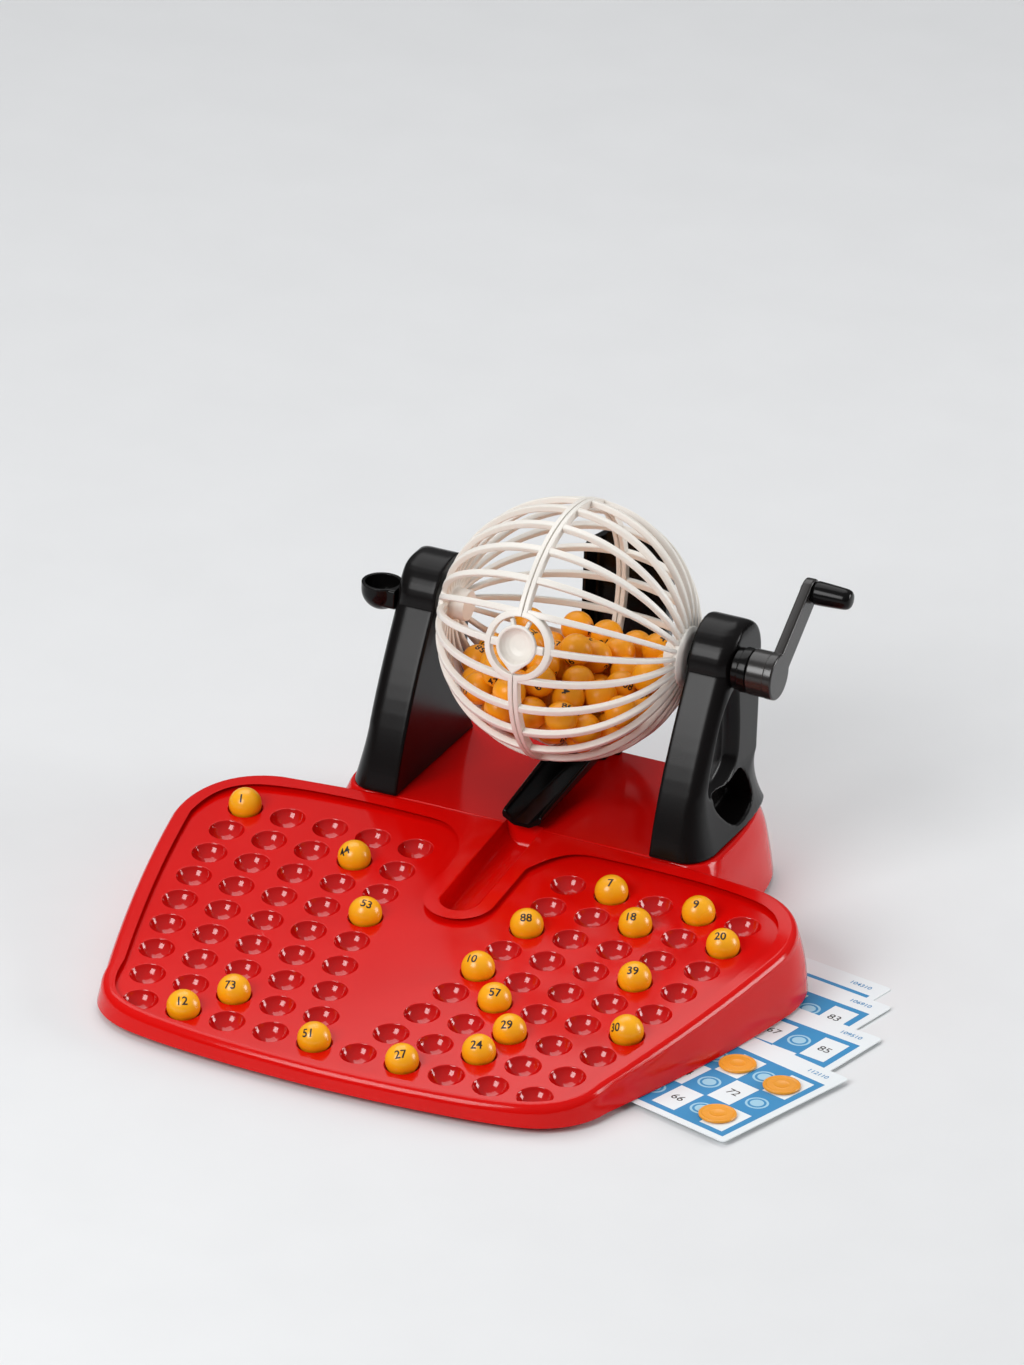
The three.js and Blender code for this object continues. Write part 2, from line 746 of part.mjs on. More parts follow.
// Drop-shaped outlet: a ball-sized bowl facing out, held in the port ring by struts
const makeOutlet = () => {
  const points = 18;
  const drop = (radius, tip, z) => {
    const loop = [];
    for (let i = 0; i < points; i++) {
      const angle = (2 * Math.PI * i) / points;
      const pull = Math.max(0, -Math.sin(angle)) ** 3;
      const reach = radius + (tip - radius) * pull;
      loop.push(new THREE.Vector3(reach * Math.cos(angle), reach * Math.sin(angle), z));
    }
    return loop;
  };
  const top = cageRadius + gap;
  const shell = loft([
    drop(outletRadius * 0.5, outletRadius * 0.5, top - outletDepth),
    drop(outletRadius * 0.86, outletRadius * 0.86, top - outletDepth * 0.7),
    drop(outletRadius * 0.97, outletRadius, top - outletDepth * 0.35),
    drop(outletRadius, outletTip, top - outletDepth * 0.25),
    drop(outletRadius, outletTip, top - outletDepth * 0.05),
    drop(outletRadius * 0.96, outletTip * 0.97, top),
  ]);
  const bowl = loft([
    drop(outletBowlRadius * 0.35, outletBowlRadius * 0.35, top - outletBowlDepth),
    drop(outletBowlRadius * 0.75, outletBowlRadius * 0.75, top - outletBowlDepth * 0.8),
    drop(outletBowlRadius * 0.96, outletBowlRadius * 0.96, top - outletBowlDepth * 0.4),
    drop(outletBowlRadius, outletBowlRadius, top),
    drop(outletBowlRadius, outletBowlRadius, top + overrun),
  ]);
  const seat = portRadius - gap;
  const strutTop = top - strutThickness / 2;
  const strutZ = [strutTop - strutThickness, strutTop];
  const across = block([-seat, seat], [-strutWidth / 2, strutWidth / 2], strutZ);
  const prongs = [-1, 1].map((side) => solid(block(
    [-strutWidth / 4, strutWidth / 4],
    [outletRadius / 2, seat - gap],
    strutZ,
  ).rotateZ(side * 0.35)));
  const body = join([solid(shell), solid(across), ...prongs]).subtract(solid(bowl));
  return toGeometry(body).applyMatrix4(portAxis());
};

// Turning parts outside the right arm, on the cage axis
const collarX = armOuterX + gap;
const crankHubX = collarX + collarLength + gap;
const crankBarX = crankHubX + crankHubLength;

const makeShaft = () => {
  const spindle = revolveX([
    [hubFaceX + gap, 0],
    [hubFaceX + gap, shaftRadius],
    [collarX, shaftRadius],
    [collarX, collarRadius],
    [collarX + collarLength * 0.4, collarRadius],
    [collarX + collarLength * 0.4, collarStepRadius],
    [collarX + collarLength, collarStepRadius],
    [collarX + collarLength, squareSide * 0.8],
    [crankHubX + crankHubLength * 0.7, squareSide * 0.8],
    [crankHubX + crankHubLength * 0.7, 0],
  ], 20);
  const half = squareSide / 2;
  const square = block([hubFaceX - squareLength, hubFaceX + gap * 2], [-half, half], [-half, half]);
  return toGeometry(solid(spindle).add(solid(square)));
};

const crankPlane = (x, points) => points.map((p) => new THREE.Vector3(x, p.x, p.y));

const makeCrankBar = () => {
  const outline = [];
  const steps = 7;
  const taper = Math.asin((crankHubRadius - crankWidth / 2) / crankLength) * 0.4;
  const arc = (centre, radius, from, to) => {
    for (let i = 0; i <= steps; i++) {
      const angle = from + ((to - from) * i) / steps;
      outline.push(new THREE.Vector2(centre + radius * Math.cos(angle), radius * Math.sin(angle)));
    }
  };
  arc(crankLength, crankWidth / 2, -Math.PI / 2 + taper, Math.PI / 2 - taper);
  arc(0, crankHubRadius, Math.PI * 0.2, Math.PI * 1.8);
  const edge = crankThickness * 0.2;
  const bar = loft([
    crankPlane(crankBarX, offset(outline, -edge)),
    crankPlane(crankBarX + edge, outline),
    crankPlane(crankBarX + crankThickness - edge, outline),
    crankPlane(crankBarX + crankThickness, offset(outline, -edge)),
  ]);
  const hub = rodX(crankHubRadius * 0.98, crankHubX, crankBarX + crankThickness / 2, 20);
  const socketEnd = crankHubX + crankHubLength * 0.7 + gap;
  const socket = rodX(squareSide * 0.8 + gap, crankHubX - overrun, socketEnd, 24);
  const pinHole = rodX(knobPinRadius + gap, crankBarX - overrun, crankBarX + crankThickness + overrun, 12)
    .translate(0, crankLength, 0);
  return toGeometry(solid(bar).add(solid(hub)).subtract(solid(socket)).subtract(solid(pinHole)));
};

const knobX = crankBarX + crankThickness + gap;

const makeKnob = () => {
  const bore = knobPinRadius + gap;
  const end = knobX + knobLength;
  const blind = knobX + knobLength * 0.6;
  return revolveX([
    [blind, 0],
    [blind, bore],
    [knobX, bore],
    [knobX, knobRadius * 0.9],
    [knobX + knobRadius * 0.15, knobRadius],
    [end - knobTipRadius * 0.7, knobTipRadius],
    [end - knobTipRadius * 0.25, knobTipRadius * 0.85],
    [end, knobTipRadius * 0.45],
    [end, 0],
  ], 16);
};

const makeKnobPin = () => {
  const head = crankBarX - gap;
  const tip = knobX + knobLength * 0.6 - gap;
  return revolveX([
    [head - knobPinHeadLength, 0],
    [head - knobPinHeadLength, knobPinHeadRadius * 0.8],
    [head, knobPinHeadRadius],
    [head, knobPinRadius],
    [tip, knobPinRadius],
    [tip, 0],
  ], 16);
};

// Cup on the left arm: a bowl open at the top, on a neck with a push-fit stub
const makeSideCup = () => {
  const reach = cupOuterRadius * 2;
  const face = armOuterX + gap;
  const middle = face + cupOuterRadius;
  const rim = cupRimAboveAxis;
  const bowl = (radius, bottom) => revolveZ([
    [0, bottom],
    [radius * 0.5, bottom + radius * 0.12],
    [radius * 0.87, bottom + radius * 0.5],
    [radius, bottom + radius],
    [radius, rim],
    [0, rim],
  ], 16);
  const neckHalf = cupOuterRadius * 0.8;
  const neck = block([face, middle], [-neckHalf, neckHalf], [rim - cupDepth * 0.72, rim]);
  const hollow = solid(bowl(cupOuterRadius - cupWall, rim - cupDepth + cupWall))
    .add(solid(revolveZ([
      [0, 0], [cupOuterRadius - cupWall, 0],
      [cupOuterRadius - cupWall, rim + overrun], [0, rim + overrun],
    ], 16)));
  const stub = rodX(cupStubRadius, armOuterX - cupStubLength + gap, face + cupWall, 16);
  const outer = solid(bowl(cupOuterRadius, rim - cupDepth).translate(middle, 0, 0)).add(solid(neck));
  const behindFace = block([0, face], [-reach, reach], [-reach, reach]);
  const cup = outer.subtract(solid(behindFace))
    .subtract(solid(toGeometry(hollow).translate(middle, 0, 0)))
    .add(solid(stub));
  return mirrored(toGeometry(cup));
};

// Section of a trough with sloping sides. A wall of zero gives the outside.
// Above is what an inner cut overruns.
const troughSection = (place, size, wall, above) => {
  const half = size.half - wall;
  const bottom = size.bottom - wall * 0.4;
  const knee = size.side * 0.55;
  const top = size.side + above;
  return [
    [-bottom, wall], [bottom, wall], [half, knee + wall], [half, top], [-half, top], [-half, knee + wall],
  ].map(([x, out]) => place(x, out));
};

const chuteFrontZ = deckHeight + chuteFrontFloor - chuteWall;
const chuteBackZ = chuteFrontZ + chuteRise;
const chuteLength = chuteBackY - chuteFrontY;
const chuteWiden = chuteHalfWidth - chuteFrontHalfWidth;

const makeChute = () => {
  const section = (y, side, wall, above) => {
    const floor = chuteFrontZ + (chuteRise * (y - chuteFrontY)) / chuteLength;
    const place = (x, out) => new THREE.Vector3(x, y, floor + out);
    const half = chuteFrontHalfWidth + (chuteWiden * (y - chuteFrontY)) / chuteLength;
    return troughSection(place, { half, bottom: chuteFloorHalfWidth, side }, wall, above);
  };
  const outer = loft([
    section(chuteFrontY, chuteFrontSide * 0.8, 0, 0),
    section(chuteFrontY + chuteWall, chuteFrontSide, 0, 0),
    section(chuteBackY, chuteBackSide, 0, 0),
  ]);
  const sideRise = ((chuteBackSide - chuteFrontSide) * overrun) / chuteLength;
  const inner = loft([
    section(chuteFrontY - overrun, chuteFrontSide - sideRise, chuteWall, overrun),
    section(chuteBackY + overrun, chuteBackSide + sideRise, chuteWall, overrun),
  ]);
  const foot = block(
    [-chuteFootHalfWidth, chuteFootHalfWidth],
    [chuteBackY - gap - chuteFootLength, chuteBackY - gap],
    [deckHeight + gap, chuteBackZ + chuteWall / 2],
  );
  return toGeometry(solid(foot).add(solid(outer)).subtract(solid(inner)));
};

// The guard stands up behind the cage and bends forward to the back end of the chute
const makeGuard = () => {
  const frontY = chuteBackY + gap;
  const bendY = guardBackY - frontY;
  const bendHeight = bendY * guardBendShare;
  const bendZ = chuteBackZ + bendHeight;
  const blend = (from, to, share) => from + (to - from) * share;
  const station = (angle, beyondTop, beyondFront, wall, above) => {
    const share = (1 - Math.cos(angle * 2)) / 2;
    const normal = new THREE.Vector2(-Math.cos(angle) / bendY, Math.sin(angle) / bendHeight).normalize();
    const y = frontY + bendY * Math.cos(angle) - beyondFront;
    const z = bendZ - bendHeight * Math.sin(angle) + beyondTop;
    const place = (x, out) => new THREE.Vector3(x, y + out * normal.x, z + out * normal.y);
    const size = {
      half: blend(guardHalfWidth, chuteHalfWidth, share),
      bottom: blend(guardFloorHalfWidth, chuteFloorHalfWidth, share),
      side: blend(guardSide, chuteBackSide, share),
    };
    return troughSection(place, size, wall, above);
  };
  const straight = axisHeight + guardAboveAxis - bendZ;
  const run = (wall, above) => {
    const sections = [station(0, straight + above, 0, wall, above)];
    for (let i = 0; i <= guardSteps; i++) {
      sections.push(station((Math.PI / 2) * (i / guardSteps), 0, 0, wall, above));
    }
    if (above > 0) sections.push(station(Math.PI / 2, 0, above, wall, above));
    return loft(sections);
  };
  const shape = new THREE.Shape();
  const top = axisHeight + guardAboveAxis;
  shape.moveTo(-guardHalfWidth, 0);
  shape.lineTo(guardHalfWidth, 0);
  shape.absarc(guardHalfWidth - guardCorner, top - guardCorner, guardCorner, 0, Math.PI / 2);
  shape.absarc(-guardHalfWidth + guardCorner, top - guardCorner, guardCorner, Math.PI / 2, Math.PI);
  const through = { depth: guardBackY * 2, bevelEnabled: false, curveSegments: 4 };
  const front = new THREE.ExtrudeGeometry(shape, through)
    .rotateX(Math.PI / 2)
    .translate(0, guardBackY * 2, 0);
  const foot = block(
    [-guardFootHalfWidth, guardFootHalfWidth],
    [frontY, frontY + guardFootLength],
    [deckHeight + gap, chuteBackZ + chuteWall / 2],
  );
  const body = solid(foot).add(solid(run(0, 0))).subtract(solid(run(chuteWall, overrun)));
  return toGeometry(body.intersect(solid(front)));
};

// Balls that rest in the dimples: side, row, column
const trayBalls = [
  ["ball_07", 1, 0, 1], ["ball_09", 1, 0, 3], ["ball_18", 1, 1, 2], ["ball_20", 1, 1, 4],
  ["ball_88", 1, 2, 0], ["ball_39", 1, 3, 3], ["ball_10", 1, 4, 0], ["ball_57", 1, 5, 1],
  ["ball_30", 1, 5, 4], ["ball_29", 1, 6, 2], ["ball_24", 1, 7, 2], ["ball_27", 1, 8, 1],
  ["ball_01", -1, 0, 4], ["ball_44", -1, 1, 1], ["ball_53", -1, 3, 0], ["ball_73", -1, 7, 2],
  ["ball_51", -1, 8, 0], ["ball_12", -1, 8, 3],
];
const ballSinkGap = 0.35;
const ballLift = ballDiameter / 2 - dimpleDepth + ballSinkGap;

// Balls left in the cage, settled by small pushes from a seeded start
const heapCount = 2 * dimpleRows * dimpleColumns - trayBalls.length;
const heapRadius = cageRadius - ribThickness - gap * 2 - ballDiameter / 2;
const sweepRadius = cageRadius - outletDepth - gap * 2 - ballDiameter / 2;
const sweepHalfWidth = portRadius - gap;
const settleRounds = 500;
const settleShare = 0.03;

const settleHeap = () => {
  let seed = 20241;
  const random = () => {
    seed = (seed * 1103 + 12345) % 65536;
    return seed / 65536;
  };
  const startTopShare = 0.1;
  const balls = [];
  while (balls.length < heapCount) {
    const ball = [0, 1, 2].map(() => (2 * random() - 1) * heapRadius);
    const distance = Math.sqrt(ball[0] * ball[0] + ball[1] * ball[1] + ball[2] * ball[2]);
    if (distance < heapRadius && ball[2] < heapRadius * startTopShare) balls.push(ball);
  }
  for (let round = 0; round < settleRounds; round++) {
    const fall = ballDiameter * settleShare * (1 - round / settleRounds);
    for (const ball of balls) ball[2] -= fall;
    for (let i = 0; i < heapCount; i++) {
      for (let j = i + 1; j < heapCount; j++) {
        const [a, b] = [balls[i], balls[j]];
        const [x, y, z] = [b[0] - a[0], b[1] - a[1], b[2] - a[2]];
        const square = x * x + y * y + z * z;
        if (square >= ballDiameter * ballDiameter || square === 0) continue;
        const distance = Math.sqrt(square);
        const push = (ballDiameter - distance) / distance / 2;
        a[0] -= x * push;
        a[1] -= y * push;
        a[2] -= z * push;
        b[0] += x * push;
        b[1] += y * push;
        b[2] += z * push;
      }
    }
    for (const ball of balls) {
      const distance = Math.sqrt(ball[0] * ball[0] + ball[1] * ball[1] + ball[2] * ball[2]);
      if (distance > heapRadius) for (let k = 0; k < 3; k++) ball[k] *= heapRadius / distance;
      const across = Math.sqrt(ball[1] * ball[1] + ball[2] * ball[2]);
      const beside = Math.abs(ball[0]) - sweepHalfWidth;
      const room = sweepRadius + ballDiameter / 2;
      const half = ballDiameter / 2;
      const reach = beside <= 0 ? sweepRadius : room - Math.sqrt(Math.max(0, half * half - beside * beside));
      if (across > reach) for (let k = 1; k < 3; k++) ball[k] *= reach / across;
    }
  }
  return balls;
};

const makeHeap = () => {
  const balls = settleHeap();
  const coreRadius = heapRadius - gap;
  const coreTop = balls.map((ball) => ball[2]).sort((p, q) => q - p)[Math.floor(heapCount / 18)] - gap;
  const reach = cageRadius * 2;
  const dome = solid(new THREE.SphereGeometry(coreRadius, 16, 10).rotateX(Math.PI / 2));
  let core = dome.subtract(solid(block([-reach, reach], [-reach, reach], [coreTop, reach])));
  const grooveRadius = sweepRadius - gap;
  const grooveHalf = sweepHalfWidth + ballDiameter / 2;
  const groove = solid(rodX(reach, -grooveHalf, grooveHalf, 24))
    .subtract(solid(rodX(grooveRadius, -reach, reach, 24)));
  core = core.subtract(groove);
  for (const [x, y, z] of balls) {
    const ball = new THREE.SphereGeometry(ballFacetRadius, 6, 4).rotateX(x * y).rotateZ(z);
    core = core.add(solid(ball.translate(x, y, z)));
  }
  return toGeometry(core).translate(0, 0, axisHeight);
};

// Cards, lowest first: the corner nearest the front card's number, as shares of the tray's plan,
// and the turn in degrees
const cardCornerShares = [
  ["card_4", 1.2183, 0.009],
  ["card_3", 1.2677, 0.091],
  ["card_2", 1.3267, 0.2371],
  ["card_1", 1.3442, 0.4393],
];
const cardTurns = [-12, -12, -12, -17];

const makeCard = () => {
  const shape = new THREE.Shape();
  const [long, wide, round] = [cardLength, cardWidth, cardCorner];
  shape.moveTo(-round, 0);
  shape.lineTo(-long + round, 0);
  shape.quadraticCurveTo(-long, 0, -long, -round);
  shape.lineTo(-long, -wide + round);
  shape.quadraticCurveTo(-long, -wide, -long + round, -wide);
  shape.lineTo(-round, -wide);
  shape.quadraticCurveTo(0, -wide, 0, -wide + round);
  shape.lineTo(0, -round);
  shape.quadraticCurveTo(0, 0, -round, 0);
  return new THREE.ExtrudeGeometry(shape, { depth: cardThickness, bevelEnabled: false, curveSegments: 3 });
};

// Tokens on the front card: shares of the tray's half width along it, and of its own width across
const tokenShares = [
  ["token_1", 0.2818, 0.304],
  ["token_2", 0.1049, 0.3206],
  ["token_3", 0.1189, 0.8],
];

const makeToken = () => revolveZ([
  [0, 0],
  [tokenRadius - tokenRimDepth, 0],
  [tokenRadius, tokenThickness / 2],
  [tokenRadius - tokenRimDepth, tokenThickness],
  [tokenRadius - tokenRimWidth, tokenThickness],
  [tokenRadius - tokenRimWidth - tokenRimDepth, tokenThickness - tokenRimDepth],
  [0, tokenThickness - tokenRimDepth],
], 14);

// Assembly
const game = new THREE.Group();
const frameGroup = new THREE.Group();
const cageGroup = new THREE.Group();
const crankGroup = new THREE.Group();
cageGroup.position.z = axisHeight;
crankGroup.rotation.x = THREE.MathUtils.degToRad(crankAngle);
game.add(frameGroup);
frameGroup.add(cageGroup);
cageGroup.add(crankGroup);

const place = (parent, name, geometry, material, position = [0, 0, 0]) => {
  const mesh = new THREE.Mesh(merged(geometry), material);
  mesh.name = name;
  mesh.position.set(...position);
  parent.add(mesh);
  return mesh;
};

place(frameGroup, "base_tray", makeBase(), redPlastic);
for (const [name, x, y] of feet) place(frameGroup, name, makeFoot(), greyRubber, [x, y, 0]);
place(frameGroup, "arm_left", makeArm(-1), blackPlastic);
place(frameGroup, "arm_right", makeArm(1), blackPlastic);
for (const [name, x, y] of screws) place(frameGroup, name, makeScrew(), steel, [x, y, 0]);
place(frameGroup, "side_cup", makeSideCup(), blackPlastic, [0, 0, axisHeight]);
place(frameGroup, "chute", makeChute(), blackPlastic);
place(frameGroup, "ball_guard", makeGuard(), blackPlastic);
place(frameGroup, "ball_heap", makeHeap(), orangeBall);
for (const [name, side, row, column] of trayBalls) {
  const ball = new THREE.SphereGeometry(ballFacetRadius, 8, 4).rotateX(Math.PI / 2);
  place(frameGroup, name, ball, yellowBall, trayPlace(side, row, column, ballLift));
}

place(cageGroup, "cage_left", makeCageHalf(-1), whitePlastic);
place(cageGroup, "cage_right", makeCageHalf(1), whitePlastic);
place(cageGroup, "ball_outlet", makeOutlet(), whitePlastic);
place(cageGroup, "crank_shaft", makeShaft(), blackPlastic);
place(crankGroup, "crank_bar", makeCrankBar(), blackPlastic);
place(crankGroup, "crank_knob", makeKnob(), blackPlastic, [0, crankLength, 0]);
place(crankGroup, "knob_pin", makeKnobPin(), steel, [0, crankLength, 0]);

const cardPitch = cardThickness + cardGap;
cardCornerShares.forEach(([name, ...share], i) => {
  const [x, y] = trayPoint(share);
  const card = new THREE.Group();
  card.position.set(x, y, i * cardPitch);
  card.rotation.z = THREE.MathUtils.degToRad(cardTurns[i]);
  frameGroup.add(card);
  place(card, name, makeCard(), cardPaper);
  if (i + 1 < cardCornerShares.length) return;
  for (const [token, along, across] of tokenShares) {
    const spot = [-along * trayHalfWidth, -across * cardWidth, cardPitch];
    place(card, token, makeToken(), orangeToken, spot);
  }
});

// The origin is the middle of the game's footprint, on the table
game.updateMatrixWorld(true);
const bounds = new THREE.Box3().setFromObject(game);
const centre = bounds.getCenter(new THREE.Vector3());
frameGroup.position.set(-centre.x, -centre.y, -bounds.min.z);

export default game;
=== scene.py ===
import math

import bmesh
import bpy
import numpy as np
from mathutils import Matrix, Vector


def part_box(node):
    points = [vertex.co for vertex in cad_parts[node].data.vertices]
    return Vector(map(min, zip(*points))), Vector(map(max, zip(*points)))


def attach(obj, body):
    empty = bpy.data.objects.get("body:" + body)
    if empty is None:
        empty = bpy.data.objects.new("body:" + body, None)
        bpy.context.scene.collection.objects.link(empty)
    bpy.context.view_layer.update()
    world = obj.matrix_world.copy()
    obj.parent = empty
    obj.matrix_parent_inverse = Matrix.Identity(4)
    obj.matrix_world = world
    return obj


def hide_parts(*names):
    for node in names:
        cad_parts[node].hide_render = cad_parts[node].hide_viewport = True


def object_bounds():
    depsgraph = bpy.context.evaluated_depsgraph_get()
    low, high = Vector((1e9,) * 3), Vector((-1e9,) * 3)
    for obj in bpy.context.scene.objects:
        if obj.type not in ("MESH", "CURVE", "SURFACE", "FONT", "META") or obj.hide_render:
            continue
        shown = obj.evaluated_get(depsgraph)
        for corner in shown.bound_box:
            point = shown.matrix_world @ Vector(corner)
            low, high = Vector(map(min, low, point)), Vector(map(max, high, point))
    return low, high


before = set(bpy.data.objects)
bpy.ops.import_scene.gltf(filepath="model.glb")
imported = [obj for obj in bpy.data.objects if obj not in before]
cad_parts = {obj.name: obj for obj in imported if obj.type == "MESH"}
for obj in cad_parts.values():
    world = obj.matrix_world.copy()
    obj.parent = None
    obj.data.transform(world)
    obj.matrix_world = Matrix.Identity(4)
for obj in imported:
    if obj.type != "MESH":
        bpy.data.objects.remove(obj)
CAD_LOW, CAD_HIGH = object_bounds()

MM = 0.001
GAP = 0.3
AXIS = 97.0
FRONT_FOOT_X, FRONT_FOOT_Y = 84, -190
pad_low, pad_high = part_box("foot_front_left")
ORIGIN = Vector(((pad_low.x + pad_high.x) / 2 + FRONT_FOOT_X * MM,
                 (pad_low.y + pad_high.y) / 2 - FRONT_FOOT_Y * MM, 0))

CAMERA_AZIMUTH, CAMERA_ELEVATION, CAMERA_ROLL = 23.66, 26.56, 2.33
PHOTO_WIDTH, PHOTO_HEIGHT, SENSOR = 1024, 1365, 36


def heading(azimuth, elevation):
    """The direction from the machine to a viewer at these angles in degrees."""
    a, e = math.radians(azimuth), math.radians(elevation)
    return Vector((math.sin(a) * math.cos(e), -math.cos(a) * math.cos(e), math.sin(e)))


def placed(name, data):
    """A new object in the scene."""
    made = bpy.data.objects.new(name, data)
    bpy.context.scene.collection.objects.link(made)
    return made


# Camera
def make_camera():
    azimuth, roll = math.radians(CAMERA_AZIMUTH), math.radians(CAMERA_ROLL)
    distance, focal = 4449.8, 11779.0
    aim_x, aim_y = 559.5, 860.5
    back = heading(CAMERA_AZIMUTH, CAMERA_ELEVATION)
    right = Vector((math.cos(azimuth), math.sin(azimuth), 0))
    up = back.cross(right)
    side = right * math.cos(roll) + up * math.sin(roll)
    top = up * math.cos(roll) - right * math.sin(roll)
    across, down = PHOTO_WIDTH / 2 - aim_x, PHOTO_HEIGHT / 2 - aim_y
    ahead = (side * across / focal - top * down / focal - back).normalized()
    side = (side - ahead * side.dot(ahead)).normalized()
    top = (-ahead).cross(side)
    data = bpy.data.cameras.new("view")
    data.sensor_fit = "AUTO"
    data.sensor_width = SENSOR
    data.lens = SENSOR * focal / PHOTO_HEIGHT
    data.clip_start, data.clip_end = 0.1, 100
    camera = placed("view", data)
    place = ORIGIN + back * distance * MM
    camera.matrix_world = Matrix(((side.x, top.x, -ahead.x, place.x), (side.y, top.y, -ahead.y, place.y),
                                  (side.z, top.z, -ahead.z, place.z), (0, 0, 0, 1)))
    bpy.context.scene.camera = camera


make_camera()


# Materials
def srgb(*levels):
    """A colour's linear values from its eight-bit ones."""
    shares = [level / 255 for level in levels]
    return tuple(c / 12.92 if c <= 0.04045 else ((c + 0.055) / 1.055) ** 2.4 for c in shares) + (1,)


def settings(node, **values):
    """Sets a node's inputs. An underscore in a name stands for a space."""
    for name, value in values.items():
        node.inputs[name.replace("_", " ")].default_value = value


def plastic(name, colour, rough, vary=0.04, grain=900.0, bump=0.02, spread=0.06, metal=0.0, mirror=0.5):
    """A moulded surface: cloudy colour, uneven gloss and a fine grain, all from noise in object space."""
    m = bpy.data.materials.new(name)
    m.use_nodes = True
    nodes, links = m.node_tree.nodes, m.node_tree.links
    shader = nodes["Principled BSDF"]
    where = nodes.new("ShaderNodeTexCoord")
    cloud, fine = nodes.new("ShaderNodeTexNoise"), nodes.new("ShaderNodeTexNoise")
    settings(cloud, Scale=24, Detail=3)
    settings(fine, Scale=grain, Detail=2)
    for noise in (cloud, fine):
        links.new(where.outputs["Object"], noise.inputs["Vector"])
    ramp = nodes.new("ShaderNodeValToRGB")
    ramp.color_ramp.elements[0].position = 0.3
    ramp.color_ramp.elements[1].position = 0.7
    ramp.color_ramp.elements[0].color = tuple(c * (1 - spread) for c in colour[:3]) + (1,)
    ramp.color_ramp.elements[1].color = tuple(min(1, c * (1 + spread)) for c in colour[:3]) + (1,)
    links.new(cloud.outputs["Fac"], ramp.inputs["Fac"])
    links.new(ramp.outputs["Color"], shader.inputs["Base Color"])
    span = nodes.new("ShaderNodeMapRange")
    settings(span, To_Min=rough - vary, To_Max=rough + vary)
    links.new(cloud.outputs["Fac"], span.inputs["Value"])
    links.new(span.outputs["Result"], shader.inputs["Roughness"])
    relief = nodes.new("ShaderNodeBump")
    settings(relief, Strength=bump, Distance=0.0002)
    links.new(fine.outputs["Fac"], relief.inputs["Height"])
    links.new(relief.outputs["Normal"], shader.inputs["Normal"])
    settings(shader, Metallic=metal, Specular_IOR_Level=mirror)
    return m


RED = plastic("red_plastic", srgb(212, 7, 4), 0.13, vary=0.03, bump=0.012, spread=0.03, mirror=0.24)
# A darker red that paints shade into the dimples; the tray's plastic is one red throughout
DIMPLE_SHADE_RED = plastic("red_plastic_painted_shade", srgb(192, 6, 5), 0.09, vary=0.03, bump=0.008, spread=0.03)
BLACK = plastic("black_plastic", srgb(14, 12, 12), 0.26, grain=1600, bump=0.04, mirror=0.17)
GLOSS_BLACK = plastic("gloss_black", srgb(12, 11, 11), 0.18, grain=1400, mirror=0.17)
CRANK_BLACK = plastic("crank_black", srgb(36, 33, 32), 0.24, grain=1400)
WHITE = plastic("white_plastic", srgb(238, 233, 225), 0.36, bump=0.015, spread=0.02)
AMBER = plastic("amber_ball", srgb(252, 174, 16), 0.26, bump=0.01, spread=0.05)
ORANGE = plastic("orange_ball", srgb(246, 162, 22), 0.3, bump=0.01, mirror=0.4)
INK = plastic("ink", srgb(30, 24, 18), 0.5)
RUBBER = plastic("rubber", srgb(66, 66, 68), 0.8, grain=2500, bump=0.12)
STEEL = plastic("steel", srgb(190, 192, 196), 0.32, grain=3000, bump=0.05, metal=1.0)
CARD = plastic("card_stock", srgb(232, 238, 240), 0.6, grain=3200, bump=0.05, spread=0.015)
BLUE = plastic("card_blue", srgb(44, 138, 192), 0.55, grain=3200, bump=0.05, spread=0.03)
PALE_BLUE = plastic("card_pale_blue", srgb(160, 205, 226), 0.55, grain=3200, bump=0.05, spread=0.02)
TOKEN = plastic("token_orange", srgb(238, 158, 42), 0.34, grain=1800, bump=0.04, spread=0.05)


# Mesh tools, in millimetres
def as_mesh(bm):
    mesh = bpy.data.meshes.new("mesh")
    bm.to_mesh(mesh)
    bm.free()
    return mesh


def shape(verts, faces):
    mesh = bpy.data.meshes.new("shape")
    mesh.from_pydata([tuple(map(float, v)) for v in verts], [], [tuple(f) for f in faces])
    bm = bmesh.new()
    bm.from_mesh(mesh)
    bmesh.ops.remove_doubles(bm, verts=bm.verts, dist=1e-5)
    bmesh.ops.recalc_face_normals(bm, faces=bm.faces)
    return as_mesh(bm)


def loft(loops):
    """Faces from loop to loop, with a cap on each end."""
    count = len(loops[0])
    verts = [p for loop in loops for p in loop]
    faces = []
    for level in range(len(loops) - 1):
        for i in range(count):
            j = (i + 1) % count
            a, b = level * count + i, level * count + j
            faces.append((a, b, b + count, a + count))
    faces.append(tuple(range(count)))
    faces.append(tuple(range(len(verts) - 1, len(verts) - 1 - count, -1)))
    return shape(verts, faces)


def prism(outline, low, high, axis="Z"):
    """A straight body with one outline from end to end."""
    if axis == "X":
        return loft([[(x, u, v) for u, v in outline] for x in (low, high)])
    return loft([[(u, v, z) for u, v in outline] for z in (low, high)])


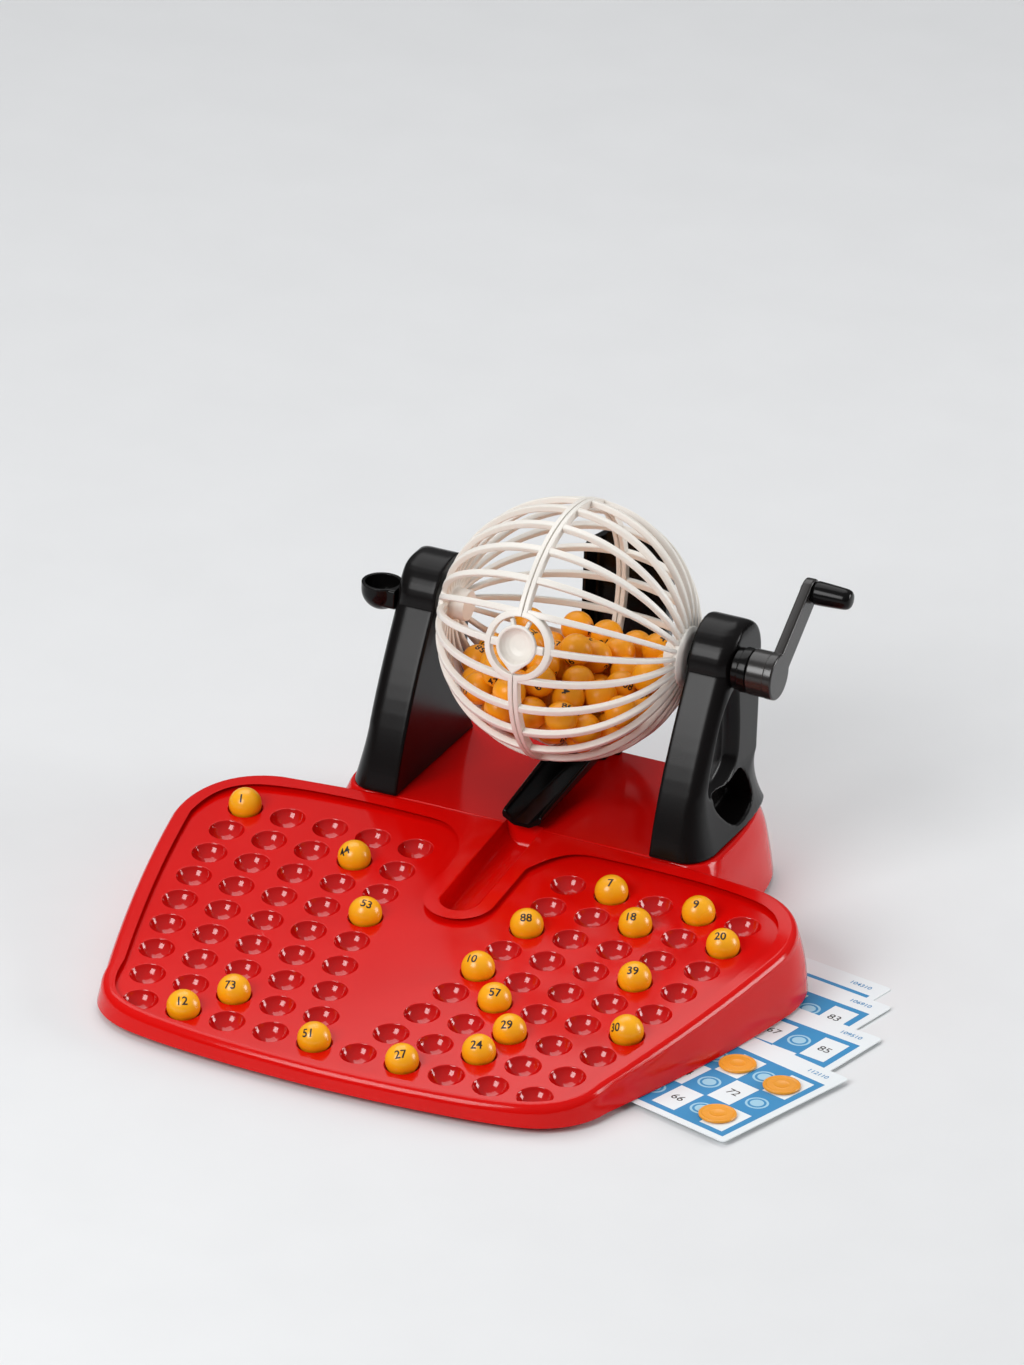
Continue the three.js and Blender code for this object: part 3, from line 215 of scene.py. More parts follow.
def lathe(profile, segments=48, axis="Z"):
    """A profile of (radius, height) turned about an axis. It ends on the axis or closes on itself."""
    verts, faces, rings = [], [], []
    for radius, height in profile:
        if radius < 1e-6:
            rings.append([len(verts)])
            verts.append((0, 0, height))
        else:
            rings.append(list(range(len(verts), len(verts) + segments)))
            turns = [2 * math.pi * i / segments for i in range(segments)]
            verts += [(radius * math.cos(a), radius * math.sin(a), height) for a in turns]
    for a, b in zip(rings, rings[1:]):
        for i in range(segments):
            j = (i + 1) % segments
            corners = (a[i % len(a)], a[j % len(a)], b[j % len(b)], b[i % len(b)])
            face = tuple(dict.fromkeys(corners))
            if len(face) > 2:
                faces.append(face)
    if axis == "X":
        verts = [(z, x, y) for x, y, z in verts]
    return shape(verts, faces)


def raised(profile, base):
    return [(radius, base + height) for radius, height in profile]


def rod(radius, low, high, segments=32, axis="X"):
    return lathe([(0, low), (radius, low), (radius, high), (0, high)], segments, axis)


def moved(mesh, matrix):
    mesh.transform(matrix)
    return mesh


def shift(mesh, x=0.0, y=0.0, z=0.0):
    return moved(mesh, Matrix.Translation((x, y, z)))


def joined(meshes):
    bm = bmesh.new()
    for mesh in meshes:
        bm.from_mesh(mesh)
    return as_mesh(bm)


def flipped(mesh):
    moved(mesh, Matrix.Scale(-1, 4, (1, 0, 0)))
    mesh.flip_normals()
    return mesh


def evaluated(data, setup=lambda made: None):
    """The mesh of this data after the modifiers that setup adds to it."""
    made = placed("made", data)
    extra = setup(made) or []
    result = bpy.data.meshes.new_from_object(made.evaluated_get(bpy.context.evaluated_depsgraph_get()))
    for obj in [made, *extra]:
        bpy.data.objects.remove(obj)
    return result


def boolean(mesh, operation, *others):
    for other in others:
        def setup(made, other=other):
            tool = placed("tool", other)
            modifier = made.modifiers.new("cut", "BOOLEAN")
            modifier.operation = operation
            modifier.solver = "MANIFOLD"
            modifier.object = tool
            return [tool]
        mesh = evaluated(mesh, setup)
    return mesh


def cut(mesh, *others):
    return boolean(mesh, "DIFFERENCE", *others)


def softened(mesh, voxel, rounds):
    """Remeshed and relaxed, so that every edge gets the round of a moulding."""
    def setup(made):
        remesh = made.modifiers.new("remesh", "REMESH")
        remesh.mode = "VOXEL"
        remesh.voxel_size = voxel
        smooth = made.modifiers.new("smooth", "SMOOTH")
        smooth.factor = 0.5
        smooth.iterations = rounds
    return evaluated(mesh, setup)


def piece(name, mesh, body, node, materials, crease=38):
    """Puts a finished mesh in the frame, in place of its CAD node."""
    flat = np.empty(len(mesh.vertices) * 3)
    mesh.vertices.foreach_get("co", flat)
    points = flat.reshape(-1, 3) * MM + np.array(ORIGIN)
    points = np.clip(points, np.array(CAD_LOW), np.array(CAD_HIGH))
    mesh.vertices.foreach_set("co", points.ravel())
    mesh.name = name
    index = np.zeros(len(mesh.polygons), np.int32)
    mesh.polygons.foreach_get("material_index", index)
    mesh.materials.clear()
    for material in materials:
        mesh.materials.append(material)
    mesh.polygons.foreach_set("material_index", index)
    mesh.polygons.foreach_set("use_smooth", [True] * len(mesh.polygons))
    mesh.set_sharp_from_angle(angle=math.radians(crease))
    mesh.update()
    obj = placed(name, mesh)
    normals = obj.modifiers.new("normals", "WEIGHTED_NORMAL")
    normals.keep_sharp = True
    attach(obj, body)
    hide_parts(node)


# Outlines
def angles(*degrees):
    return [math.radians(a) for a in degrees]


def bezier(points, share):
    points = [np.array(p, float) for p in points]
    while len(points) > 1:
        points = [a + (b - a) * share for a, b in zip(points, points[1:])]
    return points[0]


def half_path(start, curves, steps):
    """A half outline in x >= 0 drawn from curves, closed by its mirror image."""
    right = [np.array(start, float)]
    for points in curves:
        count = 1 if len(points) == 1 else steps
        first = right[-1]
        right += [bezier([first, *points], (i + 1) / count) for i in range(count)]
    return right + [np.array((-p[0], p[1])) for p in right[-2:0:-1]]


def offset(outline, distance):
    out = []
    for i, point in enumerate(outline):
        along = outline[(i + 1) % len(outline)] - outline[i - 1]
        along = along / np.linalg.norm(along)
        out.append(np.array((point[0] + along[1] * distance, point[1] - along[0] * distance)))
    return out


def stack(outline, levels):
    """A body through offsets of an outline, each at a height that depends on y."""
    loops = [(offset(outline, outward), height) for outward, height in levels]
    return loft([[(p[0], p[1], height(p[1])) for p in loop] for loop, height in loops])


def through(points, steps, closed=True):
    """A smooth curve through its points."""
    points = [np.array(p, float) for p in points]
    count = len(points)
    spans = count if closed else count - 1
    out = []
    for n in range(spans):
        if closed:
            a, b, c, d = (points[(n + k) % count] for k in (-1, 0, 1, 2))
        else:
            a, b, c, d = (points[min(max(n + k, 0), count - 1)] for k in (-1, 0, 1, 2))
        for i in range(steps):
            t = i / steps
            curve = 2 * b + (c - a) * t + (2 * a - 5 * b + 4 * c - d) * t * t
            curve += (3 * b - a - 3 * c + d) * t ** 3
            out.append(0.5 * curve)
    if not closed:
        out.append(points[-1])
    return out


def soft_box(width, depth, radius, steps=3):
    """Corners of a rectangle with round corners, about its middle."""
    out = []
    for sx, sy, start in ((1, 1, 0), (-1, 1, 90), (-1, -1, 180), (1, -1, 270)):
        x, y = sx * (width / 2 - radius), sy * (depth / 2 - radius)
        for i in range(steps + 1):
            a = math.radians(start + 90 * i / steps)
            out.append((x + radius * math.cos(a), y + radius * math.sin(a)))
    return out


# Base
DECK_TOP, DECK_HALF, DECK_FRONT, DECK_BACK = 30.0, 75.5, -36.0, 41.0
DECK_FLARE = 6.5
TRAY_LENGTH, TRAY_FALL, TRAY_HALF = 178.0, 20.5, 125.5
RIM_ROUND, FOOT_HEIGHT, WALL = 3.2, 2.5, 2.5
RIM_DROP = RIM_ROUND * 1.3
SKIRT_DROP, SKIRT_OUT = 34.0, 6.12
FLARE_SHARES = [(0.76, 12), (0.43, 21.9)]
FIELD_DEPTH = 2.0
SLOPE = TRAY_FALL / TRAY_LENGTH
TILT = math.atan(SLOPE)
CHANNEL_RADIUS, CHANNEL_DEPTH, CHANNEL_FRONT, CHANNEL_BACK = 7.4, 9.0, -97.5, -33.0
CHANNEL_MIDDLE = CHANNEL_FRONT + CHANNEL_RADIUS
LIP = CHANNEL_RADIUS + 5
CHANNEL_SIDE = 2.7
DIMPLE_DEPTH, DIMPLE_ROUND = 4.8, 7.0
# Reach and top of the painted shade inside the dimples
DIMPLE_SHADE_RADIUS, DIMPLE_SHADE_TOP = 6.75, 0.12
DIMPLE_ROWS, DIMPLE_COLUMNS = 9, 5
FIRST_ROW, ROW_PITCH, COLUMN_PITCH, ROW_BOW = 27, 16.7, 17.7, 22.5
BOSS_RADIUS = 7.5
QUARTER_HANDLE = 0.5523


def rim(y):
    return DECK_TOP + (y - DECK_FRONT) * SLOPE


def under(depth):
    return lambda y: rim(y) - depth


def at(z):
    return lambda y: z


def tray_point(share):
    return share[0] * TRAY_HALF, DECK_FRONT - share[1] * TRAY_LENGTH


def deck_point(share):
    return share[0] * DECK_HALF, DECK_FRONT + share[1] * (DECK_BACK - DECK_FRONT)


TRAY_CURVES = [[(0.4, 0.995), (0.606, 0.962)], [(0.72, 0.944), (0.79, 0.892), (0.805, 0.815)],
               [(0.94, 0.5), (1, 0.236)], [(1.016, 0.135), (0.948, 0.034), (0.781, 0.011)], [(0.48, -0.01)]]
DECK_CURVES = [[(0.86, 0)], [(0.96, 0), (1, 0.06), (1, 0.2)], [(1, 0.66), (0.95, 0.83), (0.82, 0.935)],
               [(0.75, 0.985), (0.68, 1), (0.6, 1)], [(0, 1)]]
FIELD_CURVES = [[(0.152, 0.062), (0.19, 0.041), (0.27, 0.037)], [(0.67, 0.028), (0.829, 0.065)],
                [(0.908, 0.087), (0.952, 0.135), (0.955, 0.225)], [(0.9, 0.48), (0.772, 0.79)],
                [(0.76, 0.875), (0.722, 0.93), (0.6, 0.947)], [(0.4, 0.97), (0, 0.975)]]
FIELD_CORNER = (0.0988, 0.146)


def scaled(curves, point):
    return [[point(share) for share in curve] for curve in curves]


def tray_outline(steps):
    return half_path(tray_point((0, 1)), scaled(TRAY_CURVES, tray_point) + [[(0, CHANNEL_BACK)]], steps)


def deck_outline(steps):
    return half_path((0, DECK_FRONT), scaled(DECK_CURVES, deck_point), steps)


def field_outline(steps):
    q = QUARTER_HANDLE * LIP
    m = CHANNEL_MIDDLE
    lip = [(q, m - LIP), (LIP, m - q), (LIP, m)]
    curves = [lip, [tray_point(FIELD_CORNER)], *scaled(FIELD_CURVES, tray_point)]
    return half_path((0, m - LIP), curves, steps)


def channel_outline(turns):
    arc = [math.pi + math.pi * i / turns for i in range(turns + 1)]
    points = [(CHANNEL_RADIUS * math.cos(a), CHANNEL_MIDDLE + CHANNEL_RADIUS * math.sin(a)) for a in arc]
    points += [(CHANNEL_RADIUS, CHANNEL_BACK), (-CHANNEL_RADIUS, CHANNEL_BACK)]
    return [np.array(p) for p in points]


def tray_place(side, row, column, lift):
    along = FIRST_ROW + row * ROW_PITCH
    out = lift - FIELD_DEPTH
    across = COLUMN_PITCH * (column + 0.5) + ROW_BOW * (1 - (row / (DIMPLE_ROWS - 1)) ** 2)
    return Vector((side * across, DECK_FRONT - along * math.cos(TILT) - out * math.sin(TILT),
                   DECK_TOP - along * math.sin(TILT) + out * math.cos(TILT)))


FEET = {"foot_front_left": (-FRONT_FOOT_X, FRONT_FOOT_Y), "foot_front_right": (FRONT_FOOT_X, FRONT_FOOT_Y),
        "foot_back_left": (-64, 32), "foot_back_right": (64, 32)}
SCREWS = {"screw_left_front": (-62, -21), "screw_left_back": (-62, 20.5),
          "screw_right_front": (62, -21), "screw_right_back": (62, 20.5)}


def sunk(outline, levels):
    """A body whose levels are depths under the sloping rim."""
    return stack(outline, [(outward, under(depth)) for outward, depth in levels])


def swell(depth, y):
    """How far the skirt stands out at a depth under the rim. It bows out more where it is tall."""
    straight = SKIRT_OUT * (depth - RIM_DROP) / (SKIRT_DROP - RIM_DROP)
    tall = min(1, max(0, (rim(y) - 12) / 10))
    return straight + 0.85 * tall * math.sin(math.pi * min(1, (depth - RIM_DROP) / 19.5)) ** 0.8


def tray_body():
    outline = tray_outline(16)
    outer = np.array(offset(outline, 1)) - np.array(outline)
    loops = []
    for depth in (SKIRT_DROP, 27, 23.66, 20, 17, 14, 11.5, 9, 7, 5.5):
        loop = [p + swell(depth, p[1]) * n for p, n in zip(outline, outer)]
        loops.append([(q[0], q[1], rim(p[1]) - depth) for p, q in zip(outline, loop)])
    for i in range(9):
        a = math.radians(11.25 * i)
        loop = offset(outline, -RIM_ROUND * (1 - math.cos(a)))
        loops.append([(p[0], p[1], rim(p[1]) - RIM_DROP * (1 - math.sin(a))) for p in loop])
    above = prism([(u, v - 80) for u, v in soft_box(400, 400, 5)], FOOT_HEIGHT, 60)
    return boolean(loft(loops), "INTERSECT", above)


def deck_body():
    middle = [(DECK_FLARE * share, z) for share, z in FLARE_SHARES]
    flare = through([(DECK_FLARE, FOOT_HEIGHT), *middle, (0.15, 28.7)], 5, closed=False)
    turns = angles(15, 30, 45, 60, 75, 90)
    edge = [(-math.sin(a) * 0.3 - (1 - math.cos(a)) * 0.8, 28.9 + 1.1 * math.sin(a)) for a in turns]
    return stack(deck_outline(16), [(outward, at(z)) for outward, z in [*flare, *edge]])


def deck_hollow():
    middle = [(DECK_FLARE * share - WALL, at(z)) for share, z in FLARE_SHARES]
    return stack(deck_outline(10), [(DECK_FLARE - WALL, at(-4)), *middle, (-WALL, at(DECK_TOP - WALL))])


def field_body():
    """The sunk ball field, with a round at the foot of its wall and another at the lip."""
    deep = FIELD_DEPTH / math.cos(TILT)
    foot, lip = 1.05, 2.3
    sweep = angles(65, 52, 39, 26, 13, 0)
    wall = [(-1.7 + foot * math.sin(a), deep - foot * (1 - math.cos(a))) for a in reversed(sweep)]
    wall += [(1.4 - lip * math.sin(a), lip * (1 - math.cos(a)) - 0.02) for a in sweep]
    return sunk(field_outline(16), [*wall, (1.45, -4)])


def channel_body():
    turns = angles(12, 24, 36, 48, 60, 70, 80, 90)
    deep = CHANNEL_DEPTH - CHANNEL_SIDE
    levels = [(-CHANNEL_RADIUS * (1 - math.sin(a)), CHANNEL_SIDE + deep * math.cos(a)) for a in turns]
    levels += [(0.05, 0.8), (0.2, 0.3), (0.5, 0.06), (0.9, -0.02), (0.95, -4)]
    return sunk(channel_outline(24), levels)


def dimple_cups(places):
    turns = angles(8, 16, 24, 32, 40, 48, 56, 62, 66)
    profile = [(0, -DIMPLE_DEPTH)]
    profile += [(DIMPLE_ROUND * math.sin(a), DIMPLE_ROUND - DIMPLE_DEPTH - DIMPLE_ROUND * math.cos(a))
                for a in turns]
    profile += [(6.56, -0.3), (6.72, -0.1), (6.98, 0.01), (7.0, 1.0), (0, 1.0)]
    return joined([moved(lathe(profile, 40), place) for place in places])


def mark_dimples(mesh, places):
    """Gives the faces inside the dimples the second material, a darker red that is painted shade."""
    centres = np.empty(len(mesh.polygons) * 3)
    mesh.polygons.foreach_get("center", centres)
    centres = centres.reshape(-1, 3)
    inside = np.zeros(len(centres), bool)
    for place in places:
        back = np.array(place.inverted())
        x, y, z = (centres @ back[:3, :3].T + back[:3, 3]).T
        deep = (z < -DIMPLE_SHADE_TOP) & (z > -DIMPLE_DEPTH - 0.1)
        inside |= (np.hypot(x, y) < DIMPLE_SHADE_RADIUS) & deep
    mesh.polygons.foreach_set("material_index", inside.astype(np.int32))


def make_base():
    body = boolean(tray_body(), "UNION", deck_body())
    outside = body.copy()
    hollow = sunk(tray_outline(10), [(SKIRT_OUT - WALL, SKIRT_DROP), (-WALL, 9)])
    body = cut(body, hollow, deck_hollow())
    body = boolean(body, "UNION", sunk(channel_outline(24), [(0.6, 11), (2, 4.5), (2, 2.5)]))
    for x, y in FEET.values():
        top = DECK_TOP - 1 if y > DECK_FRONT else rim(y) - FIELD_DEPTH
        boss = shift(rod(BOSS_RADIUS, FOOT_HEIGHT, top, axis="Z"), x, y)
        body = boolean(body, "UNION", boolean(boss, "INTERSECT", outside.copy()))
    body = cut(body, field_body(), channel_body())
    places = [Matrix.Translation(tray_place(side, row, column, 0)) @ Matrix.Rotation(TILT, 4, "X")
              for side in (-1, 1) for row in range(DIMPLE_ROWS) for column in range(DIMPLE_COLUMNS)]
    body = cut(body, dimple_cups(places))
    # The dimple faces get the darker red as painted shade
    mark_dimples(body, places)
    piece("base_shell", body, "base", "base_tray", [RED, DIMPLE_SHADE_RED], crease=32)


make_base()

for name, (x, y) in FEET.items():
    top = FOOT_HEIGHT - GAP
    pad = lathe([(0, 0), (5.2, 0), (5.7, 0.15), (5.95, 0.5), (6, 0.9), (6, top), (0, top)], 40)
    piece(name + "_pad", shift(pad, x, y), "base", name, [RUBBER])


def make_screw(name, x, y):
    top = DECK_TOP - WALL - GAP
    head = lathe(raised([(0, -1.2), (0.9, -1.2), (1.0, -1.9), (2.2, -2), (2.9, -1.5), (3.2, -0.8), (3.2, 0),
                         (1.5, 0), (1.5, 1), (0, 1)], top), 32)
    thread = []
    turns, pitch, radius, root, steps = 11, 1.1, 1.5, 0.9, 16
    half = Vector((0, 0, 0.4))
    for i in range(turns * steps + 1):
        angle = 2 * math.pi * i / steps
        out = Vector((math.cos(angle), math.sin(angle), 0))
        centre = Vector((0, 0, top + 0.6 + pitch * i / steps))
        thread.append([centre + out * root - half, centre + out * radius, centre + out * root + half])
    core = lathe(raised([(0, 0), (1.0, 0), (1.0, 13), (0.3, 14), (0, 14)], top), 20)
    screw = shift(joined([head, core, loft(thread)]), x, y)
    piece(name + "_steel", screw, "base", name, [STEEL])


for name, (x, y) in SCREWS.items():
    make_screw(name, x, y)


# Arms
ARM_IN, ARM_THICK = 52.0, 17.0
ARM_OUT = ARM_IN + ARM_THICK
ARM_BASE = DECK_TOP + GAP
FOOT_RISE, FOOT_BULGE, TOP_ROUND = 24, 4.8, 5
BORE_RADIUS, PIVOT_LENGTH = 4.3, 9
HEAD_Y, HEAD_Z, HEAD_R = 8.0, 65.0, 16.5


def arm_front(z):
    if z >= HEAD_Z:
        return HEAD_Y - math.sqrt(max(0, HEAD_R ** 2 - (z - HEAD_Z) ** 2))
    end, bow_y, bow_z, foot = HEAD_Y - HEAD_R, -33.0, 25.0, -37.0
    a = HEAD_Z - 2 * bow_z
    t = (-bow_z + math.sqrt(bow_z ** 2 + a * z)) / a
    return (1 - t) ** 2 * foot + 2 * t * (1 - t) * bow_y + t ** 2 * end


def arm_back(z):
    if z >= HEAD_Z:
        return HEAD_Y + math.sqrt(max(0, HEAD_R ** 2 - (z - HEAD_Z) ** 2))
    return HEAD_Y + HEAD_R + 8.5 * max(0, 1 - z / FOOT_RISE) ** 2


def arm_outer(z):
    high = min(1, max(0, (z - (HEAD_Z + HEAD_R - TOP_ROUND)) / TOP_ROUND))
    low = max(0, 1 - z / FOOT_RISE)
    return ARM_OUT + FOOT_BULGE * low ** 1.5 - TOP_ROUND * (1 - math.sqrt(1 - high ** 2))


def corner(x, y, radius_x, radius_y, start, steps):
    turns = [start + math.pi / 2 * i / steps for i in range(steps + 1)]
    return [(x + radius_x * math.cos(a), y + radius_y * math.sin(a)) for a in turns]


def arm_section(z):
    front, back, outer = arm_front(z), arm_back(z), arm_outer(z)
    room = (back - front) / 2
    low = max(0, 1 - z / FOOT_RISE)
    front_x, front_y = min(6 + 4 * low, room * 0.8), min(6 + 8 * low, room * 0.8)
    back_x, back_y = min(3 + 3.5 * low, room * 0.6), min(3 + 33 * low, room * 1.1)
    inner = min(0.8, room * 0.2)
    points = [*corner(ARM_IN + inner, front + inner, inner, inner, math.pi, 2),
              *corner(outer - front_x, front + front_y, front_x, front_y, -math.pi / 2, 12),
              *corner(outer - back_x, back - back_y, back_x, back_y, 0, 10),
              *corner(ARM_IN + inner, back - inner, inner, inner, math.pi / 2, 2)]
    return [(x, y, ARM_BASE + z) for x, y in points]


RECESS = [(0, 0.89), (-0.15, 0.79), (-0.27, 0.56), (-0.315, 0.35),
          (-0.15, 0.31), (0.03, 0.4), (0.06, 0.56), (0.04, 0.76)]
POCKET = [(-0.27, 0.29), (-0.17, 0.14), (0, 0.05), (0.24, 0.11), (0.13, 0.33), (-0.07, 0.31)]


def side_cut(shares, levels):
    outline = through([(y * HEAD_Z, z * HEAD_Z) for y, z in shares], 8)
    area = sum(a[0] * b[1] - b[0] * a[1] for a, b in zip(outline, outline[1:] + outline[:1]))
    if area < 0:
        outline.reverse()
    return loft([[(x, p[0], ARM_BASE + p[1]) for p in offset(outline, outward)] for x, outward in levels])


def make_arm(side):
    heights = [FOOT_RISE * i / 10 for i in range(11)]
    heights += [FOOT_RISE + (HEAD_Z - FOOT_RISE) * i / 8 for i in range(1, 8)]
    head = angles(0, 8, 16, 24, 32, 40, 48, 56, 63, 69, 75, 80, 84, 87)
    heights += [HEAD_Z + HEAD_R * math.sin(a) for a in head]
    body = loft([arm_section(z) for z in heights])
    floor = ARM_OUT - 5
    recess = side_cut(RECESS, [(floor, -3.2), (floor + 0.5, -2.3), (floor + 1.6, -1.6),
                               (ARM_OUT - 0.6, 0.6), (ARM_OUT, 1.3), (ARM_OUT + 4, 4)])
    pocket = side_cut(POCKET, [(floor - 4, -1.2), (floor - 3.6, -0.6), (floor - 2.4, -0.3),
                               (ARM_OUT + 9, 0.5)])
    body = cut(body, recess, pocket)
    end = ARM_OUT + 4 if side > 0 else ARM_IN + PIVOT_LENGTH
    body = cut(body, shift(rod(BORE_RADIUS, ARM_IN - 4, end, 48), z=AXIS))
    if side < 0:
        body = cut(body, shift(rod(2.1, ARM_OUT - 4.5, ARM_OUT + 4), z=AXIS))
        flipped(body)
    body = softened(body, 0.5, 5)
    name = "arm_right" if side > 0 else "arm_left"
    piece(name + "_shell", body, "base", name, [BLACK], crease=60)


make_arm(1)
make_arm(-1)


# Cage
CAGE_R, RIB_COUNT, RIB_THICK, BAND_THICK, BAND_HALF, SEAM = 50.0, 24, 2.6, 3.2, 2.0, 0.15
RIB_PITCH = 360 / RIB_COUNT
BAND_MIDDLE = CAGE_R + GAP - (BAND_THICK + GAP) / 2
HUB_R = 11.5
HUB_ANGLE = math.asin(HUB_R * 0.86 / CAGE_R)
HUB_FACE = CAGE_R * math.cos(HUB_ANGLE) + 1
PORT = math.radians(75)
PORT_IN, PORT_OUT = 11.0, 13.5
PORT_MIDDLE = (PORT_IN + PORT_OUT) / 2
PORT_ANGLE = math.asin(PORT_MIDDLE / CAGE_R)


def make_rib(turn, last):
    loops = []
    for step in range(29):
        angle = HUB_ANGLE * 0.72 + (last - HUB_ANGLE * 0.72) * step / 28
        width = 1.5 + 1.1 * math.sin(angle)
        loop = []
        for across, out in soft_box(width, RIB_THICK, 0.55):
            radius = CAGE_R - RIB_THICK / 2 + out
            loop.append((radius * math.cos(angle), across, radius * math.sin(angle)))
        loops.append(loop)
    return moved(loft(loops), Matrix.Rotation(turn, 4, "X"))


def make_ribs():
    ribs = []
    for i in range(RIB_COUNT):
        away = math.radians(min(RIB_PITCH * i, 360 - RIB_PITCH * i))
        last = math.pi / 2 - 1.0 / CAGE_R
        if away < PORT_ANGLE:
            last = math.pi / 2 - math.acos(min(1, math.cos(PORT_ANGLE) / math.cos(away)))
        ribs.append(make_rib(PORT + math.radians(RIB_PITCH * i), last))
    return ribs


def half_band():
    middle = SEAM + (BAND_HALF - SEAM) / 2
    band = []
    for i in range(121):
        angle = PORT + PORT_ANGLE + (2 * math.pi - 2 * PORT_ANGLE) * i / 120
        loop = []
        for across, out in soft_box(BAND_HALF - SEAM, BAND_THICK + GAP, 0.4):
            radius = BAND_MIDDLE + out
            loop.append((middle + across, -radius * math.sin(angle), radius * math.cos(angle)))
        band.append(loop)
    return loft(band)


def half_port():
    ring = []
    for i in range(49):
        angle = -math.pi / 2 + math.pi * i / 48
        loop = []
        for across, out in soft_box(PORT_OUT - PORT_IN, BAND_THICK + GAP, 0.5):
            around = PORT_MIDDLE + across
            height = math.sqrt((BAND_MIDDLE + out) ** 2 - around ** 2)
            loop.append((max(SEAM, around * math.cos(angle)), around * math.sin(angle), height))
        ring.append(loop)
    return moved(loft(ring), Matrix.Rotation(PORT, 4, "X"))


HUB_PROFILE = [(0, -9), (5.2, -9), (5.8, -8.8), (6, -8.3), (6, -3.6), (6.3, -3.1), (6.8, -3), (11, -3),
               (11.4, -2.8), (11.5, -2.4), (11.5, -1.3), (11.2, -0.9), (9.8, -0.2), (9, 0), (7.4, 0),
               (7.0, -0.35), (5.2, -0.35), (4.8, 0), (0, 0)]


def make_cage(side):
    parts = [*make_ribs(), half_band(), half_port(), lathe(raised(HUB_PROFILE, HUB_FACE), 72, "X")]
    if side < 0:
        end = ARM_IN + PIVOT_LENGTH - GAP
        face = HUB_FACE - 3
        parts.append(lathe([(0, face), (4, face), (4, end - 0.5), (3.5, end), (0, end)], 40, "X"))
    mesh = joined(parts)
    if side < 0:
        flipped(mesh)
    name = "cage_right" if side > 0 else "cage_left"
    piece(name + "_shell", shift(mesh, z=AXIS), "cage", name, [WHITE], crease=45)


make_cage(1)
make_cage(-1)


SHELL_LEVELS = [(3.3, 3.4, -5.4), (5.2, 5.4, -5.0), (6.8, 7.2, -3.8), (7.5, 8.4, -2.4),
                (7.9, 9.9, -1.6), (8.0, 10.7, -1.0), (8.0, 10.7, -0.3), (7.8, 10.5, 0)]
BOWL_LEVELS = [(2.2, 2.2, -4.2), (4.1, 4.1, -3.8), (5.5, 5.5, -2.9), (6.3, 6.4, -1.6),
               (6.6, 6.9, -0.4), (6.8, 7.3, 0.02), (6.9, 7.5, 3)]


def drop(radius, tip, z):
    """A circle whose lower side runs out to a point along its tangents."""
    meet = math.acos(radius / tip)
    loop = []
    for i in range(96):
        angle = 2 * math.pi * i / 96
        away = abs(angle - 1.5 * math.pi)
        reach = radius / math.cos(meet - away) if away < meet else radius
        loop.append((reach * math.cos(angle), reach * math.sin(angle), z))
    return loop


def make_outlet():
    top = CAGE_R + GAP
    shell, bowl = (loft([drop(radius, tip, top + z) for radius, tip, z in levels])
                   for levels in (SHELL_LEVELS, BOWL_LEVELS))
    seat = PORT_IN - GAP
    bar = soft_box(3.2, 2.0, 0.5)
    across = prism([(u, top - 2 + v) for u, v in bar], -seat, seat, "X")
    prongs = []
    for side in (-1, 1):
        prong = loft([[(u * 0.5, reach, top - 2 + v) for u, v in bar] for reach in (4.3, seat - GAP)])
        prongs.append(moved(prong, Matrix.Rotation(side * 0.35, 4, "Z")))
    body = boolean(shell, "UNION", across, *prongs)
    body = softened(cut(body, bowl), 0.24, 4)
    body = shift(moved(body, Matrix.Rotation(PORT, 4, "X")), z=AXIS)
    piece("outlet_cup", body, "cage", "ball_outlet", [WHITE], crease=50)


make_outlet()


# Turning parts
COLLAR = ARM_OUT + GAP
CRANK_HUB = COLLAR + 6 + GAP
CRANK_BAR = CRANK_HUB + 6.5
CRANK_THICK, CRANK_LENGTH, CRANK_END_R, CRANK_HUB_R = 4.1, 37.5, 5, 9
KNOB = CRANK_BAR + CRANK_THICK + GAP
KNOB_LENGTH, KNOB_BORE, KNOB_BORE_R = 15, 9, 1.9
CRANK_TURN = Matrix.Rotation(math.radians(37), 4, "X")


def on_crank(mesh):
    return moved(mesh, Matrix.Translation((0, 0, AXIS)) @ CRANK_TURN)


def make_shaft():
    start, end = HUB_FACE + GAP, CRANK_HUB + 4.55
    collar = raised([(4, 0), (7.6, 0), (7.9, 0.2), (8, 0.5), (8, 2.2), (8.1, 2.5), (8.4, 2.6), (8.6, 2.9),
                     (8.6, 5.4), (8.45, 5.85), (8.1, 6), (4, 6)], COLLAR)
    spindle = lathe([(0, start), (4, start), *collar, (4, end), (0, end)], 64, "X")
    square = prism(soft_box(5, 5, 0.3), HUB_FACE - 5, HUB_FACE + 0.6, "X")
    shaft = shift(joined([spindle, square]), z=AXIS)
    piece("shaft_collar", shaft, "cage", "crank_shaft", [GLOSS_BLACK], crease=40)


